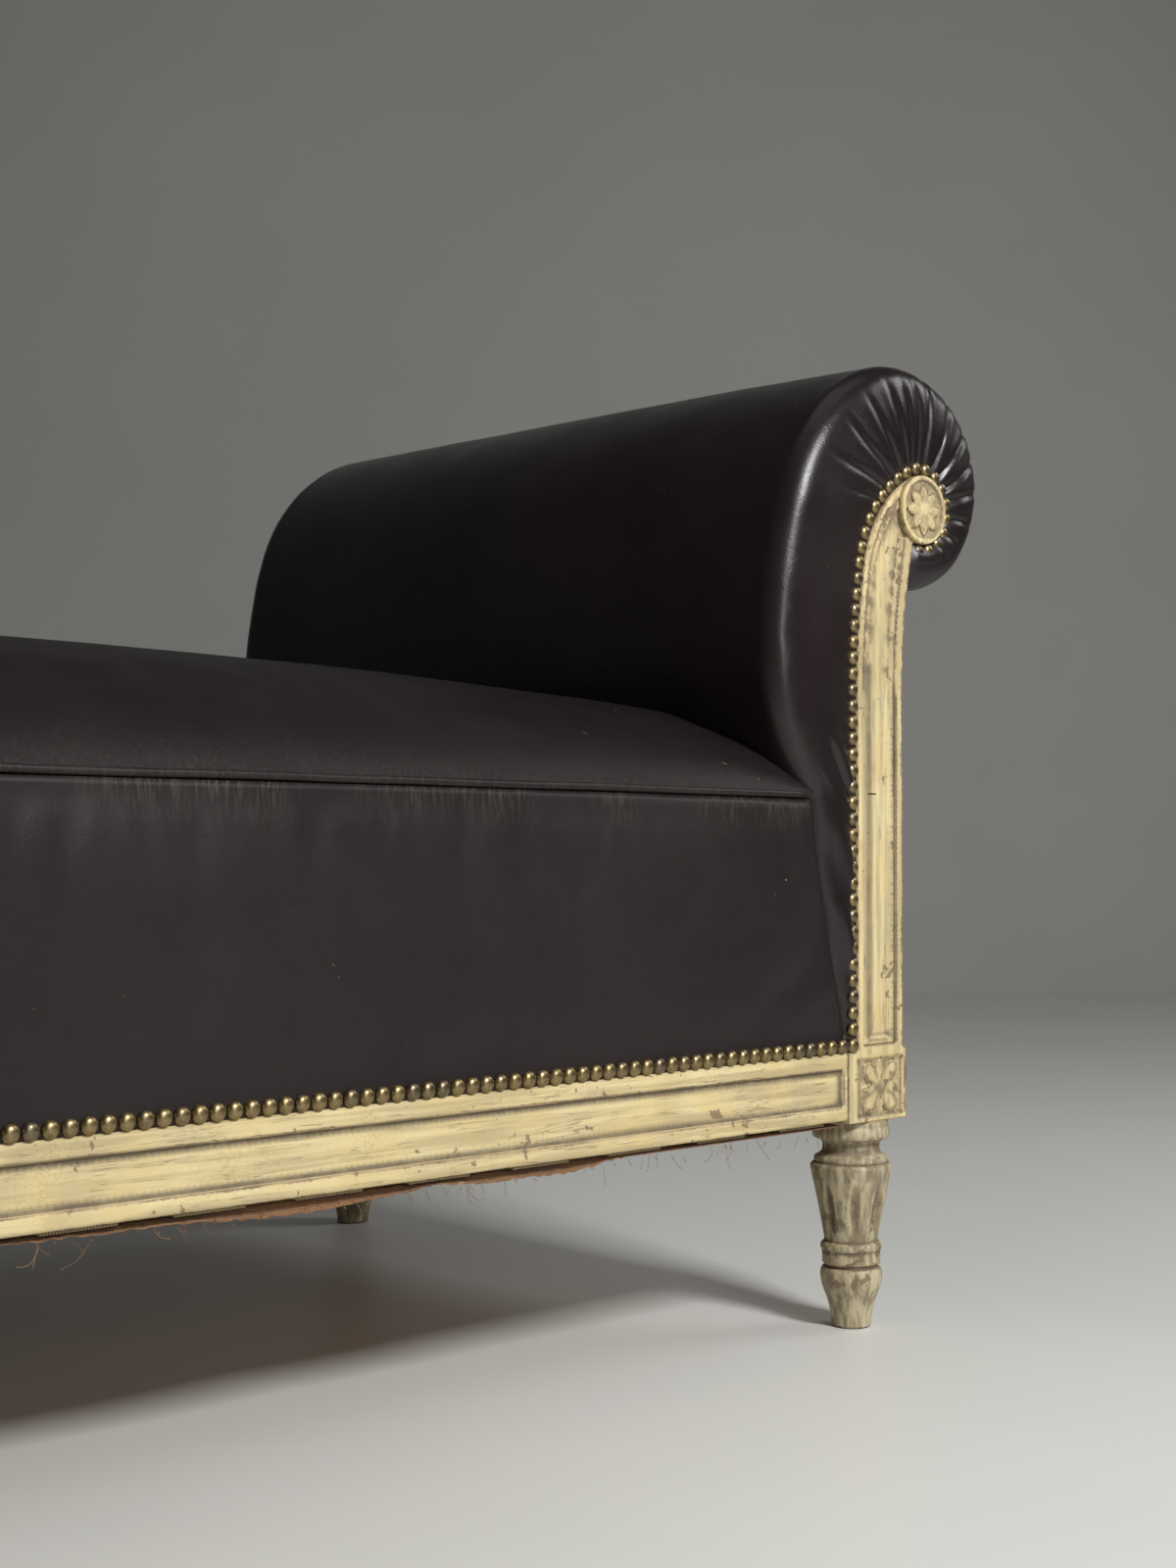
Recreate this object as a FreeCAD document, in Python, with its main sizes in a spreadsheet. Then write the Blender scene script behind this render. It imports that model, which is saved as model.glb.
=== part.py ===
import FreeCAD
import Part
import math
import os
import Sketcher

# A chaise longue with one scrolled head end: painted turned legs, moulded rails and scrolled posts,
# a sprung box seat and a padded head roll in dark leather, held by rows of domed nails.
# Millimetres. +X runs towards the head end, -Y is the front, +Z is up, the feet stand on Z = 0.

# Every size that can be set by itself.
SIZES = {
    # Frame: distances between the leg axes, and how far the head's leather reaches past its legs
    "leg_gap_long": 1560.0,
    "leg_gap_wide": 632.0,
    "roll_reach": 131.0,
    # Square blocks at the corners
    "block_wide": 69.1,
    "block_deep": 55.2,
    "block_base": 160.5,
    "block_top": 214.5,
    # Leg, from the floor up
    "sole_radius": 15.0,
    "bulb_radius": 23.9,
    "bulb_height": 38.0,
    "groove_radius": 20.3,
    "groove_low": 45.6,
    "groove_high": 48.5,
    "ring_radius": 22.5,
    "ring_top": 59.5,
    "lip_radius": 23.6,
    "lip_top": 65.5,
    "shaft_low_radius": 20.8,
    "shaft_low": 68.0,
    "shaft_high_radius": 31.7,
    "shaft_high": 123.5,
    "rim_top": 126.5,
    "astragal_radius": 28.8,
    "astragal_top": 132.0,
    "neck_radius": 22.0,
    "neck_low": 136.5,
    "neck_high": 141.0,
    "collar_low": 145.5,
    "collar_high": 155.5,
    "collar_radius": 30.2,
    "cap_radius": 28.6,
    "leg_tenon_radius": 12.5,
    "leg_tenon_long": 30.0,
    # Flutes: a round-rimmed wheel cuts each one
    "flute_low": 71.0,
    "flute_high": 114.0,
    "flute_deep": 3.2,
    "flute_rim_radius": 5.0,
    # Rails
    "rail_low": 163.0,
    "rail_thick": 30.0,
    "ledge_top": 228.0,
    "rebate_deep": 3.2,
    "rebate_wide": 10.4,
    "panel_low": 174.2,
    "panel_high": 202.6,
    "panel_deep": 3.0,
    "panel_margin": 6.5,
    "bead_round": 3.0,
    "rail_tenon_long": 20.0,
    "cross_tenon_long": 14.0,
    "tenon_thick": 12.0,
    "tenon_low": 176.0,
    "tenon_high": 206.0,
    # Scrolled head posts
    "stile_right": 30.2,
    "curve_low": 490.0,
    "bend_in": 8.2,
    "bend_height": 584.0,
    "eye_across": 53.0,
    "eye_height": 635.5,
    "patera_radius": 27.0,
    "patera_thick": 4.5,
    "back_rebate_wide": 19.6,
    "face_panel_low": 218.5,
    "face_panel_deep": 2.0,
    "face_panel_left": 7.0,
    "face_panel_right": 9.0,
    "face_bead_gap": 1.0,
    "face_bead_wide": 5.5,
    "face_bead_high": 1.8,
    # Carved four-leaf flower on the blocks, and the patera's petals
    "flower_floor_deep": 1.4,
    "flower_floor_low": 163.5,
    "flower_floor_high": 209.0,
    "flower_petal_long": 26.0,
    "flower_petal_wide": 15.0,
    "flower_rise": 1.6,
    "flower_button_radius": 4.2,
    "patera_ring_wide": 4.0,
    "patera_petal_wide": 9.0,
    "patera_petal_rise": 2.0,
    "patera_button_radius": 4.5,
    # Inner frame
    "corner_brace_long": 72.0,
    "corner_brace_low": 168.0,
    "corner_brace_high": 212.0,
    "cross_brace_wide": 46.0,
    "cross_brace_high": 192.0,
    "bar_radius": 22.0,
    "bar_tenon_radius": 9.0,
    "bar_tenon_long": 16.0,
    "tack_rail_thick": 22.0,
    "tack_rail_low": 438.0,
    "tack_rail_high": 478.0,
    "foot_rail_low": 232.0,
    "foot_rail_high": 266.0,
    # Webbing, hessian and springs
    "web_wide": 50.0,
    "web_thick": 1.4,
    "hessian_thick": 1.0,
    "spring_radius": 40.0,
    "spring_wire_radius": 2.0,
    "spring_pitch": 40.0,
    "cavity_top": 372.0,
    "cavity_wall": 24.0,
    # Leather, seat and head
    "leather_thick": 1.6,
    "soft_gap": 0.3,
    "seam_foot": 424.0,
    "seam_rise": 14.5,
    "piping_radius": 3.2,
    "piping_sunk": 1.4,
    "seat_corner_radius": 20.0,
    "crown_high": 96.0,
    "wadding_thick": 8.0,
    "head_high": 747.0,
    "head_end_round": 18.0,
    # Nails
    "nail_radius": 5.65,
    "nail_high": 3.5,
    "nail_pitch": 12.25,
    # Fits and the overrun of cutting solids
    "glue_gap": 0.15,
    "overrun": 20.0,
}

doc = FreeCAD.newDocument("chaise_longue")
sheet = doc.addObject("Spreadsheet::Sheet", "Sizes")
for row, (alias, number) in enumerate(SIZES.items(), start=1):
    sheet.set(f"A{row}", alias.replace("_", " "))
    sheet.set(f"B{row}", str(number))
    sheet.setAlias(f"B{row}", alias)
doc.recompute()

V = FreeCAD.Vector
Y_AXIS, Z_AXIS = V(0, 1, 0), V(0, 0, 1)


class Size:
    # A length that keeps both its number and the sheet expression that gives it.
    def __init__(self, number, text):
        self.number = number
        self.text = text

    def combine(self, other, sign, number):
        text = other.text if isinstance(other, Size) else repr(float(other))
        return Size(number, f"({self.text} {sign} {text})")

    def __add__(self, other):
        return self.combine(other, "+", self.number + plain(other))

    def __sub__(self, other):
        return self.combine(other, "-", self.number - plain(other))

    def __mul__(self, other):
        return self.combine(other, "*", self.number * plain(other))

    def __truediv__(self, other):
        return self.combine(other, "/", self.number / plain(other))

    def __radd__(self, other):
        return self + other

    def __rsub__(self, other):
        return self * -1 + other

    def __rmul__(self, other):
        return self * other

    def __neg__(self):
        return self * -1


def plain(value):
    return value.number if isinstance(value, Size) else float(value)


def size(alias):
    return Size(float(sheet.get(alias)), f"Sizes.{alias}")


ZERO = Size(0.0, "0")
s = {alias: size(alias) for alias in SIZES}

# Sizes that follow from the driving ones
half_wide = s["block_wide"] / 2
half_deep = s["block_deep"] / 2
half_gap = s["leg_gap_wide"] / 2
front_face = half_gap + half_deep
rebated_face = front_face - s["rebate_deep"]
leather_face = rebated_face + s["glue_gap"] + s["leather_thick"]
foot_reach = half_wide - s["rebate_deep"] + s["glue_gap"] + s["leather_thick"] + s["nail_high"]
x_head = (s["leg_gap_long"] + foot_reach - s["roll_reach"]) / 2
x_foot = x_head - s["leg_gap_long"]
foot_leather = x_foot - half_wide + s["rebate_deep"] - s["glue_gap"] - s["leather_thick"]
post_gap = half_gap - half_deep
stile_left = half_wide - s["rebate_wide"]
eye_ring = s["patera_radius"] + s["rebate_wide"]


def bind(thing, name, length):
    setattr(thing, name, length.number)
    thing.setExpression(name, length.text)


def new_body(label):
    body = doc.addObject("PartDesign::Body", label)
    body.Label = label
    return body


def stand_at(body, across, deep, turn=0):
    body.Placement = FreeCAD.Placement(V(plain(across), plain(deep), 0), FreeCAD.Rotation(Z_AXIS, turn))
    body.setExpression("Placement.Base.x", across.text)
    body.setExpression("Placement.Base.y", deep.text)


def new_sketch(body, role, depth=ZERO, across=ZERO, up=ZERO):
    plane = next(f for f in body.Origin.OriginFeatures if f.Role == role)
    sketch = body.newObject("Sketcher::SketchObject", "outline")
    sketch.AttachmentSupport = [(plane, "")]
    sketch.MapMode = "FlatFace"
    place = V(across.number, up.number, depth.number)
    sketch.AttachmentOffset = FreeCAD.Placement(place, FreeCAD.Rotation())
    for axis, offset in (("x", across), ("y", up), ("z", depth)):
        sketch.setExpression(f"AttachmentOffset.Base.{axis}", offset.text)
    return sketch


def pin(sketch, geometry, vertex, across, up):
    for kind, length in (("DistanceX", across), ("DistanceY", up)):
        rule = Sketcher.Constraint(kind, -1, 1, geometry, vertex, length.number)
        number = sketch.addConstraint(rule)
        sketch.setExpression(f"Constraints[{number}]", length.text)


def draw(sketch, corners):
    # A closed outline. Each corner is (x, y), reached by a line, or (x, y, via x, via y), reached by
    # an arc.
    edges = []
    for number, corner in enumerate(corners):
        before = corners[number - 1]
        start = V(before[0].number, before[1].number, 0)
        end = V(corner[0].number, corner[1].number, 0)
        if len(corner) == 2:
            edge = sketch.addGeometry(Part.LineSegment(start, end))
            edges.append((edge, 1, 2))
            continue
        via = V(corner[2].number, corner[3].number, 0)
        circle = Part.Circle(start, via, end)
        centre, radius = circle.Center, circle.Radius
        from_angle, to_angle = (math.atan2(p.y - centre.y, p.x - centre.x) for p in (start, end))
        backwards = (via - start).cross(end - via).z < 0
        if backwards:
            from_angle, to_angle = to_angle, from_angle
        if to_angle < from_angle:
            to_angle += math.tau
        arc = Part.ArcOfCircle(Part.Circle(centre, Z_AXIS, radius), from_angle, to_angle)
        edge = sketch.addGeometry(arc)
        edges.append((edge, 2, 1) if backwards else (edge, 1, 2))
    for number, corner in enumerate(corners):
        edge, first, last = edges[number]
        follower, follower_first, _ = edges[(number + 1) % len(edges)]
        sketch.addConstraint(Sketcher.Constraint("Coincident", edge, last, follower, follower_first))
        pin(sketch, edge, last, corner[0], corner[1])
    for number, corner in enumerate(corners):
        if len(corner) == 4:
            mark = sketch.addGeometry(Part.Point(V(corner[2].number, corner[3].number, 0)), True)
            pin(sketch, mark, 1, corner[2], corner[3])
            sketch.addConstraint(Sketcher.Constraint("PointOnObject", mark, 1, edges[number][0]))
    return sketch


def draw_circle(sketch, across, up, radius):
    circle = sketch.addGeometry(Part.Circle(V(across.number, up.number, 0), Z_AXIS, radius.number))
    rule = sketch.addConstraint(Sketcher.Constraint("Radius", circle, radius.number))
    sketch.setExpression(f"Constraints[{rule}]", radius.text)
    pin(sketch, circle, 3, across, up)
    return sketch


def rectangle(left, low, right, high):
    return [(left, low), (right, low), (right, high), (left, high)]


def pad(body, sketch, length, backwards=False):
    feature = body.newObject("PartDesign::Pad", "pad")
    feature.Profile = sketch
    bind(feature, "Length", length)
    feature.Reversed = backwards
    return feature


def pocket(body, sketch, length, backwards=False):
    feature = body.newObject("PartDesign::Pocket", "pocket")
    feature.Profile = sketch
    bind(feature, "Length", length)
    feature.Reversed = backwards
    return feature


def revolve(body, sketch):
    feature = body.newObject("PartDesign::Revolution", "turning")
    feature.Profile = sketch
    feature.ReferenceAxis = (sketch, ["V_Axis"])
    feature.Angle = 360
    return feature


def repeat_round(body, feature, sketch, axis, count):
    pattern = body.newObject("PartDesign::PolarPattern", "repeat")
    pattern.Originals = [feature]
    pattern.Axis = (sketch, [axis])
    pattern.Angle = 360
    pattern.Occurrences = count
    body.Tip = pattern
    return pattern


def round_edges(body, feature, radius, wanted):
    doc.recompute()
    names = [f"Edge{n}" for n, edge in enumerate(feature.Shape.Edges, start=1) if wanted(edge)]
    rounding = body.newObject("PartDesign::Fillet", "rounding")
    rounding.Base = (feature, names)
    bind(rounding, "Radius", radius)
    return rounding


def mirrored(source, label):
    copy = doc.addObject("Part::Mirroring", label)
    copy.Label = label
    copy.Source = source
    copy.Normal = Y_AXIS
    return copy


def boolean(kind, label, base, tool):
    result = doc.addObject(f"Part::{kind}", label)
    result.Label = label
    result.Base = base
    result.Tool = tool
    return result


def cut_all(label, base, tools):
    for number, tool in enumerate(tools):
        last = number == len(tools) - 1
        base = boolean("Cut", label if last else f"{label}_step", base, tool)
    return base


def feature_from(label, shape):
    thing = doc.addObject("Part::Feature", label)
    thing.Label = label
    thing.Shape = shape
    return thing


def moved(shape, across, deep, up, turn=0):
    copy = shape.copy()
    copy.Placement = FreeCAD.Placement(V(across, deep, up), FreeCAD.Rotation(Z_AXIS, turn))
    return copy


def grown(corners, by):
    # The outline moved outwards by a distance, each corner square to its neighbours. It runs
    # anticlockwise.
    spots = []
    for corner in corners:
        if len(corner) == 4:
            spots.append((corner[2], corner[3]))
        spots.append((corner[0], corner[1]))
    shifted = []
    for number, (across, up) in enumerate(spots):
        before, after = spots[number - 1], spots[(number + 1) % len(spots)]
        run = (after[0] - before[0]).number
        rise = (after[1] - before[1]).number
        length = math.hypot(run, rise)
        shifted.append((across + by * (rise / length), up - by * (run / length)))
    result = []
    number = 0
    for corner in corners:
        if len(corner) == 4:
            via = shifted[number]
            number += 1
            result.append((*shifted[number], *via))
        else:
            result.append(shifted[number])
        number += 1
    return result


# Turned legs, each with a round tenon that goes up into its block
def leg_outline():
    bulb_rise, bulb_swell = s["bulb_height"], s["bulb_radius"] - s["sole_radius"]
    sole = s["sole_radius"]
    neck_via = s["neck_radius"] + (s["astragal_radius"] - s["neck_radius"]) * 0.25
    collar_mid = (s["collar_low"] + s["collar_high"]) / 2
    astragal_mid = (s["rim_top"] + s["astragal_top"]) / 2
    fillet_radius = s["astragal_radius"] - (s["astragal_radius"] - s["neck_radius"]) * 0.3
    return [
        (ZERO, ZERO),
        (sole, ZERO),
        (sole + bulb_swell * 0.63, bulb_rise * 0.677, sole + bulb_swell * 0.2, bulb_rise * 0.354),
        (s["bulb_radius"], bulb_rise, sole + bulb_swell * 0.88, bulb_rise * 0.84),
        (s["ring_radius"], s["groove_low"], s["bulb_radius"], (bulb_rise + s["groove_low"]) / 2),
        (s["groove_radius"], s["groove_low"]),
        (s["groove_radius"], s["groove_high"]),
        (s["ring_radius"], s["groove_high"]),
        (s["ring_radius"], s["ring_top"]),
        (s["lip_radius"], s["ring_top"]),
        (s["shaft_low_radius"], s["lip_top"], s["lip_radius"], s["ring_top"] * 0.4 + s["lip_top"] * 0.6),
        (s["shaft_low_radius"], s["shaft_low"]),
        (s["shaft_high_radius"], s["shaft_high"]),
        (fillet_radius, s["rim_top"],
         s["shaft_high_radius"] - bulb_swell * 0.1, s["rim_top"] - bulb_rise * 0.03),
        (fillet_radius, s["astragal_top"], s["astragal_radius"], astragal_mid),
        (s["neck_radius"], s["neck_low"], neck_via, s["astragal_top"] * 0.6 + s["neck_low"] * 0.4),
        (s["neck_radius"], s["neck_high"]),
        (fillet_radius, s["collar_low"], neck_via, s["neck_high"] * 0.4 + s["collar_low"] * 0.6),
        (s["cap_radius"], s["collar_low"]),
        (s["cap_radius"], s["collar_high"], s["collar_radius"], collar_mid),
        (s["cap_radius"], s["block_base"]),
        (s["leg_tenon_radius"], s["block_base"]),
        (s["leg_tenon_radius"], s["block_base"] + s["leg_tenon_long"]),
        (ZERO, s["block_base"] + s["leg_tenon_long"]),
    ]


def make_leg(label, across, deep):
    body = new_body(label)
    turning = draw(new_sketch(body, "XZ_Plane"), leg_outline())
    revolve(body, turning)
    # The wheel that cuts a flute stands square to the shaft's slanted side
    rise = s["shaft_high"] - s["shaft_low"]
    swell = s["shaft_high_radius"] - s["shaft_low_radius"]
    slant = math.atan2(swell.number, rise.number)
    half_long = (s["flute_high"] - s["flute_low"]) / 2
    middle = (s["flute_high"] + s["flute_low"]) / 2
    surface = s["shaft_low_radius"] + swell * (middle - s["shaft_low"]) / rise
    wheel = (half_long * half_long / s["flute_deep"] + s["flute_deep"]) / 2
    reach = wheel - s["flute_deep"]
    high, out = middle - reach * math.sin(slant), surface + reach * math.cos(slant)
    cutter = new_sketch(body, "XY_Plane", high, out)
    draw_circle(cutter, s["flute_rim_radius"] - wheel, ZERO, s["flute_rim_radius"])
    flute = body.newObject("PartDesign::Groove", "flute")
    flute.Profile = cutter
    flute.ReferenceAxis = (cutter, ["V_Axis"])
    flute.Angle = 360
    repeat_round(body, flute, turning, "V_Axis", 8)
    stand_at(body, across, deep)
    return body


# Carved flower: broad leaves on the diagonals, narrow ones between, and a button, on a sunk floor
def carve_flower(body, role, face, left, right, middle, facing_back=False):
    def place(depth):
        return -depth if facing_back else depth

    floor = face - s["flower_floor_deep"]
    sunk = new_sketch(body, role, place(face))
    draw(sunk, rectangle(left, s["flower_floor_low"], right, s["flower_floor_high"]))
    pocket(body, sunk, s["flower_floor_deep"], facing_back)
    centre_up = (s["flower_floor_low"] + s["flower_floor_high"]) / 2
    long, wide = s["flower_petal_long"], s["flower_petal_wide"]
    for tilt, width, length in ((45, wide, long), (0, wide * 0.45, long * 0.85)):
        along = (math.cos(math.radians(tilt)), math.sin(math.radians(tilt)))
        leaf = new_sketch(body, role, place(floor), middle, centre_up)
        near, far, bulge = length * 0.12, length * 0.98, width / 2
        tip = (far * along[0], far * along[1])
        root = (near * along[0], near * along[1])
        waist = (near + far) / 2
        side_a = (waist * along[0] - bulge * along[1], waist * along[1] + bulge * along[0])
        side_b = (waist * along[0] + bulge * along[1], waist * along[1] - bulge * along[0])
        draw(leaf, [(*tip, *side_b), (*root, *side_a)])
        raised = pad(body, leaf, s["flower_rise"] * (1 if tilt else 0.75), facing_back)
        repeat_round(body, raised, leaf, "N_Axis", 4)
    button = new_sketch(body, role, place(floor), middle, centre_up)
    draw_circle(button, ZERO, ZERO, s["flower_button_radius"])
    pad(body, button, s["flower_rise"] * 1.2, facing_back)


def bore_for_leg(body):
    hole = new_sketch(body, "XY_Plane", s["block_base"])
    draw_circle(hole, ZERO, ZERO, s["leg_tenon_radius"] + s["glue_gap"])
    pocket(body, hole, s["leg_tenon_long"] + s["glue_gap"], True)


def tenon_edges(face):
    middle = face - s["rail_thick"] / 2
    return middle - s["tenon_thick"] / 2, middle + s["tenon_thick"] / 2


# Mortise for a rail's tenon, from one side of a block. The rail's face stands at the given distance out.
def cut_mortise(body, role, side, face, length, from_plus, flip):
    near, far = tenon_edges(face)
    if flip:
        near, far = -far, -near
    mouth = new_sketch(body, role, side)
    gap = s["glue_gap"]
    draw(mouth, rectangle(near - gap, s["tenon_low"] - gap, far + gap, s["tenon_high"] + gap))
    pocket(body, mouth, length + gap, from_plus)


# Head post outline, anticlockwise: left side, scroll and right side
def post_outline(left, right, ring, left_grow):
    eye_x, eye_z = s["eye_across"], s["eye_height"]
    curve, bend = s["curve_low"], s["bend_height"]
    crown_turn, foot_turn = math.radians(109), math.radians(251)
    top = (eye_x + ring * math.cos(crown_turn), eye_z + ring * math.sin(crown_turn))
    under = (eye_x + ring * math.cos(foot_turn), eye_z + ring * math.sin(foot_turn))
    side = math.radians(27)
    far_up = (eye_x + ring * math.cos(side), eye_z + ring * math.sin(side))
    far_mid = (eye_x + ring, eye_z)
    far_low = (eye_x + ring * math.cos(-side * 2), eye_z - ring * math.sin(side * 2))
    bend_x = s["bend_in"] - left
    return [
        (-left, s["block_base"]),
        (right, s["block_base"]),
        (right, curve),
        (*under, right + (under[0] - right) * 0.27, curve + (under[1] - curve) * 0.52),
        (*far_mid, *far_low),
        (*top, *far_up),
        (bend_x, bend + left_grow,
         bend_x + (top[0] - bend_x) * 0.36, bend + (top[1] - bend) * 0.62 + left_grow / 2),
        (-left, curve, (bend_x - left * 3) / 4, curve + (bend - curve) * 0.5),
    ]


def make_head_post(label):
    body = new_body(label)
    front = half_deep
    back_rebate = half_deep - (s["block_deep"] - s["back_rebate_wide"])
    outer_core = new_sketch(body, "XZ_Plane", front - s["rebate_deep"])
    draw(outer_core, post_outline(half_wide, s["stile_right"], eye_ring, s["rebate_deep"]))
    core = front - s["rebate_deep"] - back_rebate
    pad(body, outer_core, core, True)
    inner_core = new_sketch(body, "XZ_Plane", back_rebate)
    core_right = s["stile_right"] - s["rebate_deep"]
    draw(inner_core, post_outline(half_wide, core_right, eye_ring, s["rebate_deep"]))
    pad(body, inner_core, s["back_rebate_wide"], True)
    face = new_sketch(body, "XZ_Plane", front - s["rebate_deep"])
    draw(face, post_outline(stile_left, s["stile_right"], s["patera_radius"], ZERO))
    pad(body, face, s["rebate_deep"])
    block = new_sketch(body, "XZ_Plane", front)
    draw(block, rectangle(-half_wide, s["block_base"], half_wide, s["block_top"]))
    pad(body, block, s["block_deep"], True)
    # Sunk face panel between the two edges, then its bead, then the round seat of the patera
    chain = post_outline(stile_left, s["stile_right"], s["patera_radius"], ZERO)
    right_low, right_curve, right_top = chain[1], chain[2], chain[3]
    left_top, left_bend, left_curve = chain[5], chain[6], chain[7]

    def band(left_in, right_in, low):
        lean = math.radians(-71)
        top = (left_top[0] + left_in * math.cos(lean), left_top[1] + left_in * math.sin(lean))
        under = (right_top[0] - right_in * 0.97, right_top[1] + right_in * 0.2)
        right = [
            (right_low[0] - right_in, low),
            (right_curve[0] - right_in, right_curve[1]),
            (*under, right_top[2] - right_in, right_top[3]),
        ]
        left = [
            top,
            (left_bend[0] + left_in * 0.96, left_bend[1],
             left_bend[2] + left_in * 0.8, left_bend[3] - left_in * 0.6),
            (left_curve[0] + left_in, left_curve[1], left_curve[2] + left_in, left_curve[3]),
        ]
        return right, left, (left_curve[0] + left_in, low)

    right, left, corner = band(s["face_panel_left"], s["face_panel_right"], s["face_panel_low"])
    sunk = draw(new_sketch(body, "XZ_Plane", front), [*right, *left, corner])
    pocket(body, sunk, s["face_panel_deep"])
    gap, wide = s["face_bead_gap"], s["face_bead_wide"]
    outer = band(s["face_panel_left"] + gap, s["face_panel_right"] + gap, s["face_panel_low"] + gap)
    step = gap + wide
    inner = band(s["face_panel_left"] + step, s["face_panel_right"] + step, s["face_panel_low"] + step)
    (inner_low, inner_curve, inner_top), (i_top, i_bend, i_curve), inner_corner = inner
    back_down = [
        (i_bend[0], i_bend[1]),
        (i_top[0], i_top[1], i_bend[2], i_bend[3]),
    ]
    ring = [
        *outer[0],
        (inner_top[0], inner_top[1]),
        (inner_curve[0], inner_curve[1], inner_top[2], inner_top[3]),
        inner_low,
        inner_corner,
        (i_curve[0], i_curve[1]),
        (i_bend[0], i_bend[1], i_curve[2], i_curve[3]),
        back_down[1],
        *outer[1],
        outer[2],
    ]
    bead_sketch = draw(new_sketch(body, "XZ_Plane", front - s["face_panel_deep"]), ring)
    bead = pad(body, bead_sketch, s["face_bead_high"])
    top_plane = -(front - s["face_panel_deep"] + s["face_bead_high"]).number
    near = s["face_bead_gap"].number * 0.05

    def long_top_edge(edge):
        on_top = all(abs(vertex.Y - top_plane) < near for vertex in edge.Vertexes)
        return on_top and edge.Length > (s["face_bead_wide"] * 2).number

    round_edges(body, bead, s["face_bead_high"] * 0.7, long_top_edge)
    seat = new_sketch(body, "XZ_Plane", front - s["face_panel_deep"])
    draw_circle(seat, s["eye_across"], s["eye_height"], s["patera_radius"] - s["face_bead_gap"])
    pad(body, seat, s["face_panel_deep"])
    flower_middle = (s["stile_right"] - stile_left) / 2
    carve_flower(body, "XZ_Plane", front, -stile_left, s["stile_right"], flower_middle)
    bore_for_leg(body)
    cut_mortise(body, "YZ_Plane", -half_wide, half_deep, s["rail_tenon_long"], True, True)
    cut_mortise(body, "XZ_Plane", -half_deep, s["stile_right"], s["cross_tenon_long"], True, False)
    tack_heights = (s["tack_rail_low"], s["tack_rail_high"])
    foot_heights = (s["foot_rail_low"], s["foot_rail_high"])
    for low, high in (tack_heights, foot_heights):
        mouth = new_sketch(body, "XZ_Plane", -half_deep)
        gap_in = s["glue_gap"]
        edge = (high - low) / 4
        left_side, right_side = tack_tenon_edges()
        left_side, right_side = left_side - gap_in, right_side + gap_in
        draw(mouth, rectangle(left_side, low + edge - gap_in, right_side, high - edge + gap_in))
        pocket(body, mouth, s["cross_tenon_long"] + gap_in, True)
    socket = new_sketch(body, "XZ_Plane", -half_deep)
    draw_circle(socket, s["eye_across"], s["eye_height"], s["bar_tenon_radius"] + s["glue_gap"])
    pocket(body, socket, s["bar_tenon_long"] + s["glue_gap"], True)
    stand_at(body, x_head, -half_gap)
    return body


def make_foot_post(label):
    body = new_body(label)
    block = new_sketch(body, "XY_Plane", s["block_base"])
    draw(block, rectangle(-half_wide, -half_deep, half_wide, half_deep))
    pad(body, block, s["block_top"] - s["block_base"])
    step = s["rebate_deep"]
    turn = s["seat_corner_radius"] - s["leather_thick"] - s["glue_gap"]
    left, front = step - half_wide, step - half_deep
    bulge = turn * (1 - math.sqrt(0.5))
    ledge = new_sketch(body, "XY_Plane", s["block_top"])
    draw(ledge, [
        (left, front + turn),
        (left + turn, front, left + bulge, front + bulge),
        (half_wide, front),
        (half_wide, half_deep),
        (left, half_deep),
    ])
    pad(body, ledge, s["ledge_top"] - s["block_top"])
    flower_middle = (s["stile_right"] - stile_left) / 2
    carve_flower(body, "XZ_Plane", half_deep, -stile_left, s["stile_right"], flower_middle)
    side = half_deep * 0.8
    carve_flower(body, "YZ_Plane", half_wide, -side, side, ZERO, True)
    bore_for_leg(body)
    cut_mortise(body, "YZ_Plane", half_wide, half_deep, s["rail_tenon_long"], False, True)
    cut_mortise(body, "XZ_Plane", -half_deep, half_wide, s["cross_tenon_long"], True, True)
    stand_at(body, x_foot, -half_gap)
    return body


# Rail along its own X, moulded face towards its own -Y, with a rebated ledge for the leather
def make_rail(label, length, face, tenon_long, across, deep, turn):
    body = new_body(label)
    half = length / 2
    back = s["rail_thick"] - face
    section = new_sketch(body, "YZ_Plane", -half)
    low, step = s["rail_low"], s["rebate_deep"]
    draw(section, [
        (-face, low),
        (back, low),
        (back, s["ledge_top"]),
        (step - face, s["ledge_top"]),
        (step - face, s["block_top"]),
        (-face, s["block_top"]),
    ])
    pad(body, section, length)
    near, far = tenon_edges(face)
    tenons = new_sketch(body, "YZ_Plane", -half - tenon_long)
    draw(tenons, rectangle(-far, s["tenon_low"], -near, s["tenon_high"]))
    pad(body, tenons, length + tenon_long * 2)
    panel = new_sketch(body, "XZ_Plane", face)
    end = half - s["panel_margin"]
    draw(panel, rectangle(-end, s["panel_low"], end, s["panel_high"]))
    sunk = pocket(body, panel, s["panel_deep"])
    outside, bottom, top = -face.number, low.number, s["block_top"].number
    close = s["glue_gap"].number / 2

    def outer_long_edge(edge):
        middle = edge.CenterOfMass
        long_enough = edge.Length > s["rail_thick"].number * 2
        lowest = abs(middle.z - bottom) < close
        highest = abs(middle.z - top) < close
        return long_enough and abs(middle.y - outside) < close and (lowest or highest)

    round_edges(body, sunk, s["bead_round"], outer_long_edge)
    stand_at(body, across, deep, turn)
    return body


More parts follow.
